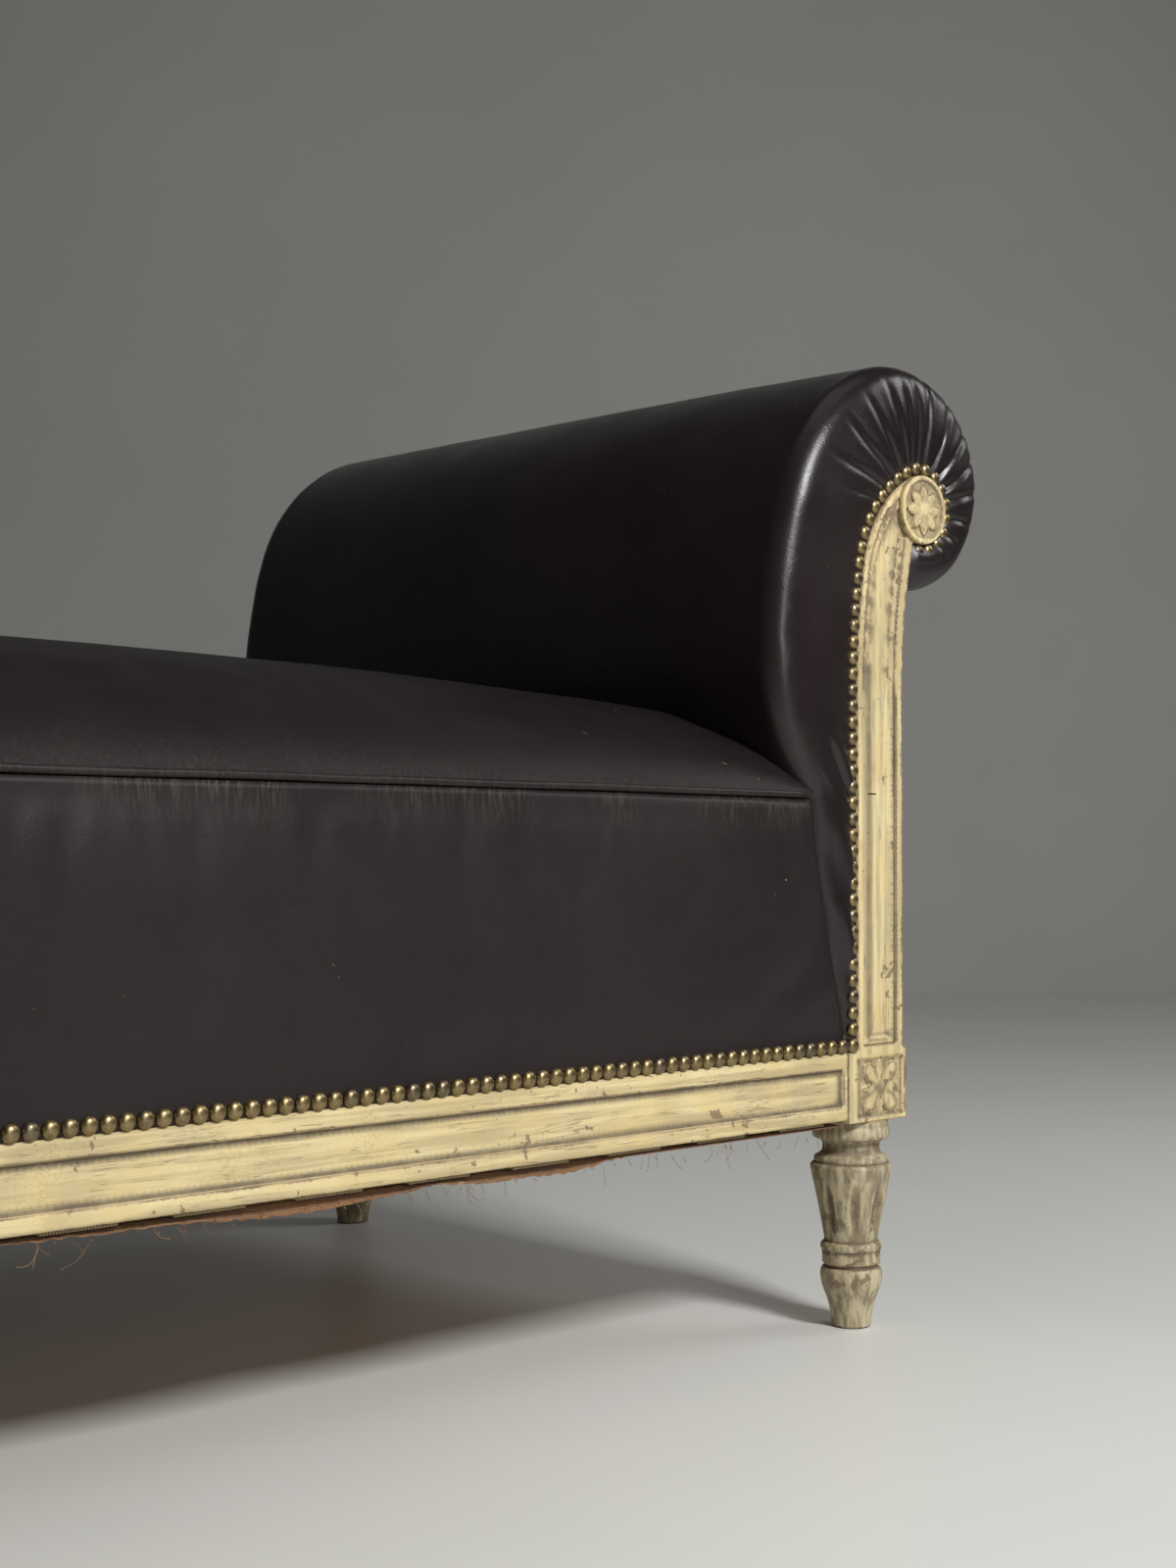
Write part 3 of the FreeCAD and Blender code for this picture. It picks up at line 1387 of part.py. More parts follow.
outside_x = x_head + back_line + s["glue_gap"] + s["leather_thick"]
outside_y = outside_half - radius - gap
head_path = chain([point(outside_x, -outside_y, nail_z), point(outside_x, outside_y, nail_z)])
nail_row("nails_rail_head", head_path, Z_AXIS)
nail_curve, nail_via, nail_top = back_curve(s["glue_gap"] * 2.5 + s["leather_thick"])[1:]
column = chain([
    point(outside_x, -outside_y, nail_z),
    point(outside_x, -outside_y, nail_curve[1]),
    (point(x_head + nail_via[0], -outside_y, nail_via[1]),
     point(x_head + nail_top[0], -outside_y, nail_top[1] - radius)),
])
column_nails = nail_row("nails_outside_front", column, Y_AXIS, 1)
mirrored(column_nails, "nails_outside_back")

NODES = [
    *(f"leg_{side}_{end}" for side in ("front", "back") for end in ("head", "foot")),
    *(f"post_{side}_{end}" for side in ("front", "back") for end in ("head", "foot")),
    *(f"corner_brace_{side}_{end}" for side in ("front", "back") for end in ("head", "foot")),
    *(f"rail_{name}" for name in ("front", "back", "foot", "head")),
    *(f"{piece}_{side}" for piece in ("patera", "nails_rail", "nails_post", "nails_outside", "seat_border")
      for side in ("front", "back")),
    "nails_rail_foot",
    "nails_rail_head",
    "cross_brace_foot",
    "cross_brace_head",
    "head_top_bar",
    "head_tacking_rail",
    "head_foot_rail",
    "seat_webbing_long",
    "seat_webbing_cross",
    "bottom_hessian",
    "seat_springs",
    "spring_hessian",
    "seat_stuffing",
    "seat_wadding",
    "seat_top_cover",
    "seat_border_foot",
    "seat_piping",
    "head_webbing",
    "head_hessian",
    "head_stuffing",
    "head_inside_cover",
    "head_outside_cover",
]

doc.recompute()
for thing in doc.Objects:
    if "Invalid" in thing.State or "Error" in thing.State:
        raise RuntimeError(f"{thing.Label} ({thing.TypeId}) failed: {thing.State}")
os.makedirs("parts", exist_ok=True)
for label in NODES:
    shape = doc.getObjectsByLabel(label)[0].Shape
    if shape.isNull() or not shape.isValid() or not shape.Solids:
        raise RuntimeError(f"{label} has no valid solid")
    shape.exportStep(os.path.join("parts", f"{label}.step"))
    print(label, len(shape.Solids), "solids", round(shape.Volume), "mm3")
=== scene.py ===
import math
import bmesh
import bpy
import numpy as np
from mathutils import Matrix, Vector


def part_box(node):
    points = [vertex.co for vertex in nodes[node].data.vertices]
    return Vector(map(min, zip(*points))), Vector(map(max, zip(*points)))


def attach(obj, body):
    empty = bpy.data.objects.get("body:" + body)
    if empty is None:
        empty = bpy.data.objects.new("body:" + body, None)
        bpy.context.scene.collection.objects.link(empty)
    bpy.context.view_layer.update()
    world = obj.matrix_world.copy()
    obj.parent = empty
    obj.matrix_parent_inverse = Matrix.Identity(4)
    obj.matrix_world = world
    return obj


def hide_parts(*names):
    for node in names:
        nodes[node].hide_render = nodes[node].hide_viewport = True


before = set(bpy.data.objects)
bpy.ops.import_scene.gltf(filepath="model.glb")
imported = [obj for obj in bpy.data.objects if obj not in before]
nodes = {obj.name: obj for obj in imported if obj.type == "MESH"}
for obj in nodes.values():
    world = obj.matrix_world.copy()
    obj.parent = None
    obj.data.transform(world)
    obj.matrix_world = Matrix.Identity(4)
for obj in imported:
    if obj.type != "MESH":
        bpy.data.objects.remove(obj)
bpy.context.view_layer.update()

scene = bpy.context.scene
mm = 0.001

room = {
    "camera": (-0.6325, -1.4625, 0.3905),
    "heading": (0.6871, 0.7266),
    "tilt": 0.94,
    "lens": 52.2,
    "wall": (0.50, 0.50, 0.475),
    "wallAway": 5.2,
    "floor": (0.80, 0.80, 0.76),
}
cameraData = bpy.data.cameras.new("camera")
camera = bpy.data.objects.new("camera", cameraData)
scene.collection.objects.link(camera)
scene.camera = camera
cameraData.lens = room["lens"]
camera.location = room["camera"]
across, along = room["heading"]
aim = Vector((across, along, math.tan(math.radians(room["tilt"]))))
camera.rotation_euler = aim.to_track_quat("-Z", "Y").to_euler()
scene.view_settings.view_transform = "Standard"
print("camera ready")

# The head's leg axis and the main faces, in metres
headX, footX = 0.7328, -0.8272
sideY = 0.34215
footEndX = -0.8603
ledgeTop = 0.228


def softNoise(points, size, seed=0, stretch=(1, 1, 1)):
    # Smooth noise from -1 to 1, fixed by its seed. A small stretch draws it out along that axis
    spots = np.asarray(points, float) * stretch / size + seed * 17.31
    cell = np.floor(spots).astype(np.int64)
    part = spots - cell
    part = part * part * (3 - 2 * part)
    total = np.zeros(len(spots))
    for corner in np.ndindex(2, 2, 2):
        mixed = np.bitwise_xor.reduce((cell + corner) * (73856093, 19349663, 83492791), axis=1)
        mixed = (mixed ^ (mixed >> 13)) * 1274126177 & 0x7FFFFFFF
        mixed = (mixed ^ (mixed >> 15)) & 0xFFFF
        weight = np.prod(np.where(corner, part, 1 - part), axis=1)
        total += weight * (mixed / 32767.5 - 1)
    return total


def smoothStep(value, low, high):
    share = np.clip((np.asarray(value, float) - low) / (high - low), 0, 1)
    return share * share * (3 - 2 * share)


def arcPoints(start, via, end, step):
    # Points on the circle through three points, without the first
    (ax, ay), (bx, by), (cx, cy) = start, via, end
    d = 2 * (ax * (by - cy) + bx * (cy - ay) + cx * (ay - by))
    ux = ((ax**2 + ay**2) * (by - cy) + (bx**2 + by**2) * (cy - ay) + (cx**2 + cy**2) * (ay - by)) / d
    uy = ((ax**2 + ay**2) * (cx - bx) + (bx**2 + by**2) * (ax - cx) + (cx**2 + cy**2) * (bx - ax)) / d
    radius = math.hypot(ax - ux, ay - uy)
    turns = [math.atan2(y - uy, x - ux) for x, y in (start, via, end)]
    sweep = (turns[2] - turns[0]) % math.tau
    if (turns[1] - turns[0]) % math.tau > sweep:
        sweep -= math.tau
    count = max(2, round(abs(sweep) * radius / step))
    angles = [turns[0] + sweep * n / count for n in range(1, count + 1)]
    return [(ux + radius * math.cos(a), uy + radius * math.sin(a)) for a in angles]


def placed(name, mesh, material, smooth=True):
    obj = bpy.data.objects.new(name, mesh)
    scene.collection.objects.link(obj)
    mesh.materials.clear()
    mesh.materials.append(material)
    if smooth:
        mesh.polygons.foreach_set("use_smooth", [True] * len(mesh.polygons))
    return obj


def sheetMesh(name, points, keep=None, turned=False):
    # A mesh over rows of points. The cells that keep leaves out stay open
    at = np.arange(points.shape[0] * points.shape[1]).reshape(points.shape[:2])
    faces = np.stack([at[:-1, :-1], at[:-1, 1:], at[1:, 1:], at[1:, :-1]], 2)
    faces = faces.reshape(-1, 4) if keep is None else faces[keep]
    mesh = bpy.data.meshes.new(name)
    mesh.from_pydata(points.reshape(-1, 3).tolist(), [], (faces[:, ::-1] if turned else faces).tolist())
    mesh.update()
    return mesh


def gridOf(*axes):
    # Rows of points from their x, y and z, each given for all points or along one way
    return np.stack(np.broadcast_arrays(*axes), 2)


def tidied(mesh, weld=0.00002):
    shape = bmesh.new()
    shape.from_mesh(mesh)
    bmesh.ops.remove_doubles(shape, verts=shape.verts, dist=weld)
    loose = [v for v in shape.verts if not v.link_faces]
    bmesh.ops.delete(shape, geom=loose, context="VERTS")
    bmesh.ops.recalc_face_normals(shape, faces=shape.faces)
    shape.to_mesh(mesh)
    shape.free()
    return mesh


def spotsOf(mesh, layer="co"):
    values = np.empty(len(mesh.vertices) * 3, np.float32)
    mesh.vertices.foreach_get(layer, values)
    return values.reshape(-1, 3).astype(float)


def marked(mesh, label, values):
    # Keeps a number for each vertex, which a material reads by its label
    mesh.attributes.new(label, "FLOAT", "POINT").data.foreach_set("value", np.asarray(values, np.float32))


def normalsOf(points):
    # Normals of a grid of points
    normal = np.cross(np.gradient(points, axis=0), np.gradient(points, axis=1))
    return normal / np.maximum(np.linalg.norm(normal, axis=2, keepdims=True), 1e-12)


def evaluatedCopy(obj):
    return obj.evaluated_get(bpy.context.evaluated_depsgraph_get())


def applied(obj):
    # Bakes the modifiers into a plain mesh
    mesh = bpy.data.meshes.new_from_object(evaluatedCopy(obj))
    obj.modifiers.clear()
    obj.data = mesh
    return obj


def skinned(obj, thickness, offset=-1):
    # Gives a sheet its thickness, inwards from its face
    solid = obj.modifiers.new("skin", "SOLIDIFY")
    solid.thickness, solid.offset = thickness, offset
    return applied(obj)


def leatherPiece(name, mesh, material, rub=0.0):
    # A sheet of leather with its thickness and where it is rubbed
    obj = placed(name, mesh, material)
    marked(mesh, "rub", np.broadcast_to(rub, len(mesh.vertices)))
    return skinned(obj, hideThick)


def meshOf(curve):
    holder = bpy.data.objects.new("holder", curve)
    scene.collection.objects.link(holder)
    bpy.context.view_layer.update()
    mesh = bpy.data.meshes.new_from_object(evaluatedCopy(holder))
    bpy.data.objects.remove(holder)
    return mesh


hideCloth = {
    "quality": 6,
    "mass": 0.25,
    "tension_stiffness": 25,
    "compression_stiffness": 25,
    "shear_stiffness": 12,
    "use_pressure": True,
}


def settled(grid, free, look, turned=False):
    # Lets a grid of leather swell and buckle where it is free, no further than its cap. At 0 it is held
    obj = bpy.data.objects.new("settling", sheetMesh("settling", grid, turned=turned))
    scene.collection.objects.link(obj)
    obj.vertex_groups.new(name="held").add(np.nonzero(free < 0.02)[0].tolist(), 1.0, "REPLACE")
    cloth = obj.modifiers.new("cloth", "CLOTH")
    settings = cloth.settings
    for key, value in hideCloth.items():
        setattr(settings, key, value)
    settings.bending_stiffness = look["bend"]
    settings.vertex_group_mass = "held"
    settings.uniform_pressure_force = look["pressure"]
    settings.shrink_min = -look["slack"]
    settings.effector_weights.gravity = 0
    cloth.point_cache.frame_start, cloth.point_cache.frame_end = 1, look["frames"]
    for frameNumber in range(1, look["frames"] + 1):
        scene.frame_set(frameNumber)
    shift = spotsOf(evaluatedCopy(obj).data).reshape(grid.shape) - grid
    scene.frame_set(1)
    bpy.data.objects.remove(obj)
    length = np.linalg.norm(shift, axis=2, keepdims=True)
    cap = look["cap"] * mm
    print("settled by at most", round(float(length.max()) / mm, 1), "mm")
    share = cap * np.tanh(length / cap) / np.maximum(length, 1e-9)
    return grid + shift * share * free.reshape(length.shape)


# Node helpers for the materials
def plugged(made, inputs):
    # Links the sockets among the values and sets the others
    for key, value in inputs.items():
        if isinstance(value, bpy.types.NodeSocket):
            made.id_data.links.new(value, made.inputs[key])
        else:
            made.inputs[key].default_value = value
    return made


def node(kind, inputs, tree=None, **settings):
    # A new node in the tree given, or in the one that its inputs come from
    sockets = (value for value in inputs.values() if isinstance(value, bpy.types.NodeSocket))
    made = (tree or next(sockets).id_data).nodes.new(kind)
    for key, value in settings.items():
        setattr(made, key, value)
    return plugged(made, inputs)


def math2(operation, first, second=0.0, clamp=False):
    return node("ShaderNodeMath", {0: first, 1: second}, operation=operation, use_clamp=clamp).outputs[0]


def plus(first, second, clamp=False):
    return math2("ADD", first, second, clamp)


def times(first, second, clamp=False):
    return math2("MULTIPLY", first, second, clamp)


def shifted(vector, shift, scale):
    # A vector moved by a scaled copy of another
    small = node("ShaderNodeVectorMath", {0: shift, "Scale": scale}, operation="SCALE").outputs[0]
    return node("ShaderNodeVectorMath", {0: vector, 1: small}, operation="ADD").outputs[0]


def stretched(vector, scale):
    return node("ShaderNodeMapping", {"Vector": vector, "Scale": scale}).outputs["Vector"]


def ranged(value, low, high, outLow=0.0, outHigh=1.0):
    limits = {"From Min": low, "From Max": high, "To Min": outLow, "To Max": outHigh}
    return node("ShaderNodeMapRange", {"Value": value, **limits}).outputs["Result"]


def noiseAt(vector, scale, detail=4.0, roughness=0.55, distortion=0.0, output="Fac"):
    look = {"Scale": scale, "Detail": detail, "Roughness": roughness, "Distortion": distortion}
    return node("ShaderNodeTexNoise", {"Vector": vector, **look}).outputs[output]


def attributeOf(shader, label):
    return node("ShaderNodeAttribute", {}, shader.id_data, attribute_name=label).outputs["Fac"]


def mixColor(share, first, second):
    ends = [end if isinstance(end, bpy.types.NodeSocket) else (*end, 1) for end in (first, second)]
    return node("ShaderNodeMix", {0: share, 6: ends[0], 7: ends[1]}, data_type="RGBA").outputs[2]


def layered(color, *layers):
    # Colours laid over each other, each by its own share
    for share, over in layers:
        color = mixColor(share, color, over)
    return color


def newGroup(name, inputs, outputs):
    # An input of None is a vector, and any other is a number
    group = bpy.data.node_groups.new(name, "ShaderNodeTree")
    for label, value in inputs.items():
        kind = "NodeSocketVector" if value is None else "NodeSocketFloat"
        socket = group.interface.new_socket(label, in_out="INPUT", socket_type=kind)
        if value is not None:
            socket.default_value = value
    for label in outputs:
        group.interface.new_socket(label, in_out="OUTPUT", socket_type="NodeSocketFloat")
    return group, group.nodes.new("NodeGroupInput").outputs, group.nodes.new("NodeGroupOutput")


def grouped(group, inputs):
    return node("ShaderNodeGroup", inputs, node_tree=group).outputs


def newMaterial(name):
    material = bpy.data.materials.new(name)
    material.use_nodes = True
    made = material.node_tree.nodes
    return material, made["Principled BSDF"], made.new("ShaderNodeTexCoord").outputs["Object"]


def bumped(height, strength, distance):
    look = {"Height": height, "Strength": strength, "Distance": distance}
    return node("ShaderNodeBump", look).outputs["Normal"]


def wearGroup():
    # Wear shared by the painted pieces: rubbed edges, grime in hollows, chips and fine cracks
    inputs = {"Vector": None, "Grain": None, "Edge": 0.0, "Hollow": 0.0}
    inputs.update({"Rubbed": 0.5, "Dirt": 0.5, "Chips": 0.5})
    tree, given, result = newGroup("paintWear", inputs, ["Wear", "Grime", "Chip", "Crack", "Tone"])
    vector, edge = given["Vector"], given["Edge"]
    coarse, fine = noiseAt(vector, 38.0, 6.0, 0.62), noiseAt(vector, 210.0, 5.0, 0.6)
    ragged = plus(times(coarse, 0.6), times(fine, 0.4))
    rubbed = plus(times(edge, given["Rubbed"]), ragged)
    dirty = times(times(given["Hollow"], plus(ragged, 0.3)), given["Dirt"])
    stains = times(ranged(noiseAt(vector, 9.0, 5.0, 0.6, 0.4), 0.48, 0.78), 0.3)
    chip = noiseAt(vector, 95.0, 3.0, 0.5, 0.6)
    spread = noiseAt(vector, 14.0, 2.0)
    for value, middle, share in ((spread, 0.5, 0.5), (given["Chips"], 0.5, 0.2), (edge, 0, 0.055)):
        chip = plus(chip, times(plus(value, -middle), share))
    warp = noiseAt(vector, 60.0, 3.0, 0.5, output="Color")
    cells = {"Vector": shifted(vector, warp, 0.010), "Scale": 230.0}
    cracks = node("ShaderNodeTexVoronoi", cells, feature="DISTANCE_TO_EDGE").outputs["Distance"]
    cracked = ranged(noiseAt(vector, 16.0, 4.0), 0.5, 0.66)
    cracks = times(ranged(cracks, 0.0, 0.045, 1.0, 0.0), cracked)
    splits = plus(noiseAt(given["Grain"], 1.0, 4.0, 0.55, 0.5), -0.5)
    splits = ranged(math2("ABSOLUTE", splits), 0.0, 0.012, 1.0, 0.0)
    splits = times(splits, ranged(noiseAt(vector, 26.0, 4.0), 0.46, 0.56))
    plugged(result, {
        "Wear": ranged(rubbed, 0.76, 0.88),
        "Grime": plus(dirty, stains, True),
        "Chip": ranged(chip, 0.715, 0.735),
        "Crack": math2("MAXIMUM", times(cracks, 0.6), splits),
        "Tone": noiseAt(vector, 24.0, 6.0, 0.6),
    })
    return tree


def grainGroup():
    # Grain shared by the leathers: pores, soft creases and rubbed patches
    inputs, outputs = {"Vector": None, "Crease Scale": 26.0}, ["Height", "Rub", "Scratch", "Tone"]
    tree, given, result = newGroup("hideGrain", inputs, outputs)
    vector = given["Vector"]
    cells = {"Vector": vector, "Scale": 900.0}
    pores = node("ShaderNodeTexVoronoi", cells, feature="SMOOTH_F1").outputs["Distance"]
    folds = noiseAt(vector, given["Crease Scale"], 7.0, 0.62, 0.3)
    ridges = ranged(math2("ABSOLUTE", plus(folds, -0.5)), 0.0, 0.04)
    flecks = ranged(noiseAt(vector, 130.0, 2.0, 0.5, 1.2), 0.76, 0.79)
    rare = ranged(noiseAt(vector, 11.0, 2.0), 0.56, 0.62)
    height = plus(times(pores, 0.16), times(folds, 0.9))
    plugged(result, {
        "Height": plus(height, times(ridges, 0.10)),
        "Rub": ranged(noiseAt(vector, 7.0, 6.0, 0.65), 0.35, 0.75),
        "Scratch": times(flecks, rare),
        "Tone": noiseAt(vector, 3.0, 5.0),
    })
    return tree


paintWear, hideGrain = wearGroup(), grainGroup()


def paintedWood(name, look):
    material, shader, coordinates = newMaterial(name)
    grain = stretched(coordinates, look["brush"])
    wear = grouped(paintWear, {
        "Vector": coordinates,
        "Grain": grain,
        "Edge": attributeOf(shader, "edge"),
        "Hollow": attributeOf(shader, "hollow"),
        "Rubbed": look["rubbed"],
        "Dirt": look["dirt"],
        "Chips": look["chips"],
    })
    brush, tone = noiseAt(grain, 1.0, 5.0, 0.6), wear["Tone"]
    scuffs = ranged(plus(brush, times(tone, 0.35)), 0.60, 0.78)
    under = mixColor(ranged(tone, 0.4, 0.62), look["ground"], look["bare"])
    color = layered(
        look["paint"],
        (ranged(tone, 0.35, 0.7), look["pale"]),
        (ranged(brush, 0.35, 0.75, 0.0, 0.45), look["deep"]),
        (times(scuffs, look["scuffed"]), look["grime"]),
        (times(wear["Crack"], 0.75), look["crack"]),
        (wear["Wear"], under),
        (times(wear["Chip"], 0.8), look["bare"]),
        (wear["Grime"], look["grime"]),
    )
    height = times(brush, 0.35)
    for mask, deep in (("Wear", -0.45), ("Chip", -0.6), ("Crack", -0.5)):
        height = plus(height, times(wear[mask], deep))
    gloss = ranged(tone, 0.3, 0.7, 0.46, 0.62)
    plugged(shader, {
        "Base Color": color,
        "Roughness": plus(gloss, times(wear["Grime"], 0.25), True),
        "Normal": bumped(height, 0.55, 0.0009),
    })
    return material


def darkLeather(name, look):
    material, shader, coordinates = newMaterial(name)
    grain = grouped(hideGrain, {"Vector": coordinates, "Crease Scale": look["crease"]})
    streaks = noiseAt(stretched(coordinates, look["streaks"]), 1.0, 3.0, 0.6)
    rub = times(attributeOf(shader, "rub"), ranged(streaks, 0.47, 0.72), True)
    color = layered(
        look["deep"],
        (ranged(grain["Tone"], 0.35, 0.65), look["hide"]),
        (times(grain["Rub"], look["rubbed"]), look["worn"]),
        (rub, look["scuff"]),
        (times(grain["Scratch"], look["flecks"]), look["fleck"]),
    )
    gloss = ranged(grain["Rub"], 0.0, 1.0, *look["gloss"])
    plugged(shader, {
        "Base Color": color,
        "Roughness": plus(gloss, times(rub, 0.2), True),
        "Specular IOR Level": look["shine"],
        "Normal": bumped(plus(grain["Height"], times(rub, 0.8)), look["bump"], 0.0016),
    })
    return material


def brassMaterial(name, look):
    material, shader, coordinates = newMaterial(name)
    spots = noiseAt(coordinates, 260.0, 4.0, 0.6)
    color = layered(
        look["brass"],
        (ranged(attributeOf(shader, "tone"), 0.55, 1.0), look["dull"]),
        (ranged(spots, 0.5, 0.72, 0.0, 0.7), look["spot"]),
    )
    plugged(shader, {
        "Base Color": color,
        "Metallic": 1.0,
        "Roughness": ranged(spots, 0.3, 0.7, *look["gloss"]),
        "Normal": bumped(spots, 0.25, 0.0004),
    })
    return material


def wovenCloth(name, look):
    # Two crossed sets of threads on Object coordinates
    material, shader, coordinates = newMaterial(name)
    wavy = noiseAt(coordinates, look["threads"] * 0.06, 3.0)
    waves = {
        "Vector": shifted(coordinates, wavy, look["wander"] / look["threads"]),
        "Scale": look["threads"] / math.tau * 2,
        "Distortion": 0.6,
        "Detail": 2.0,
        "Detail Scale": 2.0,
    }
    bands = [node("ShaderNodeTexWave", waves, bands_direction=way).outputs["Fac"] for way in look["ways"]]
    weave = math2("MAXIMUM", *bands)
    dirt = noiseAt(coordinates, 12.0, 5.0, 0.65)
    color = layered(
        look["gap"],
        (ranged(weave, 0.15, 0.5), look["thread"]),
        (ranged(dirt, 0.4, 0.75, 0.0, 0.7), look["stain"]),
    )
    plugged(shader, {
        "Base Color": color,
        "Roughness": 0.9,
        "Sheen Weight": 0.15,
        "Normal": bumped(weave, 0.8, 0.0008),
    })
    return material


def hairMat(name, look):
    material, shader, coordinates = newMaterial(name)
    strands = noiseAt(coordinates, 90.0, 8.0, 0.75, 4.0)
    plugged(shader, {
        "Base Color": mixColor(ranged(strands, 0.35, 0.65), look["dark"], look["light"]),
        "Roughness": 0.8,
        "Normal": bumped(strands, 0.9, 0.003),
    })
    return material


def sawnWood(name, look):
    material, shader, coordinates = newMaterial(name)
    grain = stretched(coordinates, look["grain"])
    rings, pores = noiseAt(grain, 1.0, 6.0, 0.6, 0.8), noiseAt(grain, 6.0, 3.0)
    color = layered(
        look["light"],
        (ranged(rings, 0.35, 0.65), look["dark"]),
        (ranged(pores, 0.55, 0.75, 0.0, 0.6), look["pore"]),
    )
    plugged(shader, {
        "Base Color": color,
        "Roughness": ranged(rings, 0.3, 0.7, 0.6, 0.8),
        "Normal": bumped(plus(rings, pores), 0.3, 0.0006),
    })
    return material


def wireMetal(name, look):
    material, shader, coordinates = newMaterial(name)
    rust = noiseAt(coordinates, 45.0, 6.0, 0.65)
    plugged(shader, {
        "Base Color": mixColor(ranged(rust, 0.52, 0.66), look["wire"], look["rust"]),
        "Metallic": ranged(rust, 0.52, 0.66, 1.0, 0.1),
        "Roughness": ranged(rust, 0.45, 0.7, 0.35, 0.85),
    })
    return material


paintLook = {
    "paint": (0.69, 0.55, 0.27),
    "pale": (0.75, 0.635, 0.36),
    "deep": (0.59, 0.455, 0.215),
    "crack": (0.22, 0.15, 0.08),
    "ground": (0.46, 0.34, 0.20),
    "bare": (0.20, 0.13, 0.075),
    "grime": (0.15, 0.115, 0.07),
    "rubbed": 0.55,
    "dirt": 1.35,
    "chips": 0.6,
    "scuffed": 0.3,
    "brush": (7.0, 170.0, 170.0),
}
railPaint = paintedWood("creamPaintRail", paintLook)
crossPaint = paintedWood("creamPaintCross", {**paintLook, "brush": (170.0, 7.0, 170.0)})
postPaint = paintedWood("creamPaintPost", {**paintLook, "dirt": 1.1, "brush": (170.0, 170.0, 8.0)})
legPaint = paintedWood("creamPaintLeg", {
    **paintLook,
    "paint": (0.50, 0.425, 0.26),
    "pale": (0.58, 0.51, 0.335),
    "deep": (0.36, 0.29, 0.175),
    "rubbed": 0.7,
    "dirt": 1.45,
    "chips": 0.8,
    "scuffed": 0.7,
    "brush": (190.0, 190.0, 34.0),
})
hideLook = {
    "hide": (0.0138, 0.0090, 0.0090),
    "deep": (0.0086, 0.0056, 0.0057),
    "worn": (0.024, 0.0175, 0.0168),
    "scuff": (0.085, 0.070, 0.056),
    "fleck": (0.30, 0.26, 0.22),
    "rubbed": 0.5,
    "flecks": 0.9,
    "gloss": (0.44, 0.56),
    "shine": 0.30,
    "crease": 26.0,
    "bump": 0.22,
    "streaks": (430.0, 430.0, 42.0),
}
seatHide = darkLeather("leatherSeat", hideLook)
# The seat top is the same leather as the border, with its colours painted darker as painted shade on the
# upward face
shadedTopHide = darkLeather("leatherTop", {
    **hideLook,
    "hide": (0.0108, 0.0072, 0.0071),
    "deep": (0.0073, 0.0048, 0.0048),
    "worn": (0.019, 0.014, 0.013),
    "gloss": (0.50, 0.62),
    "shine": 0.22,
})
headHide = darkLeather("leatherHead", {
    **hideLook,
    "hide": (0.0150, 0.0090, 0.0092),
    "deep": (0.0085, 0.0050, 0.0055),
    "gloss": (0.27, 0.40),
    "shine": 0.42,
    "flecks": 0.35,
    "crease": 34.0,
    "bump": 0.26,
})
brass = brassMaterial("agedBrass", {
    "brass": (0.31, 0.235, 0.115),
    "dull": (0.185, 0.15, 0.105),
    "spot": (0.12, 0.085, 0.045),
    "gloss": (0.31, 0.45),
})
sackLook = {
    "thread": (0.33, 0.165, 0.070),
    "gap": (0.06, 0.032, 0.018),
    "stain": (0.17, 0.080, 0.038),
    "threads": 620.0,
    "wander": 3.0,
    "ways": ("X", "Y"),
}
sackcloth = wovenCloth("sackcloth", sackLook)
springCloth = wovenCloth("springCloth", {
    **sackLook,
    "thread": (0.40, 0.29, 0.16),
    "stain": (0.28, 0.19, 0.10),
})
jute = wovenCloth("juteWebbing", {
    "thread": (0.46, 0.35, 0.20),
    "gap": (0.15, 0.10, 0.05),
    "stain": (0.33, 0.24, 0.13),
    "threads": 480.0,
    "wander": 1.5,
    "ways": ("X", "Y"),
})
horsehair = hairMat("horsehair", {"dark": (0.018, 0.012, 0.008), "light": (0.085, 0.055, 0.035)})
bareWood = sawnWood("bareBeech", {
    "light": (0.40, 0.26, 0.14),
    "dark": (0.27, 0.165, 0.085),
    "pore": (0.14, 0.08, 0.04),
    "grain": (90.0, 4.0, 90.0),
})
springWire = wireMetal("springWire", {"wire": (0.30, 0.29, 0.28), "rust": (0.16, 0.075, 0.035)})
print("materials ready")

# Painted wood: an even mesh over each CAD piece, softened edges, and its edges and hollows kept for the paint
woodMesh = {
    "leg": {"voxel": 0.7, "even": 0.02, "chips": 0.5},
    "post": {"voxel": 0.5, "even": 0.3, "chips": 0.6},
    "rail": {"voxel": 1.2, "even": 0.02, "chips": 0.8},
    "patera": {"voxel": 0.4, "even": 0.02, "chips": 0.2},
}
woodShape = {
    "longest": 3.8,  # mm, of an edge on the flats
    "rounds": 5,
    "soften": 0.45,
    "reach": (0.9, 2.2),  # mm, how far a bend is felt for the edges and for the hollows
    "edge": (0.03, 0.16),
    "hollow": (0.02, 0.12),
    "valley": (0.008, 0.05),
    "dents": 0.12,
}

# Middles of the carved flowers, the height of their face, and how far and deep their leaves reach
flowerUp, blockFace = 0.18625, 0.3450
flowers = [
    {"middle": (headX + 0.0021, 0.0, flowerUp), "face": blockFace, "reach": 24.0, "deep": 0.8},
    {"middle": (footX + 0.0021, 0.0, flowerUp), "face": blockFace, "reach": 24.0, "deep": 0.8},
    {"middle": (headX + 0.053, 0.0, 0.6355), "face": 0.3490, "reach": 22.5, "deep": 1.1},
]


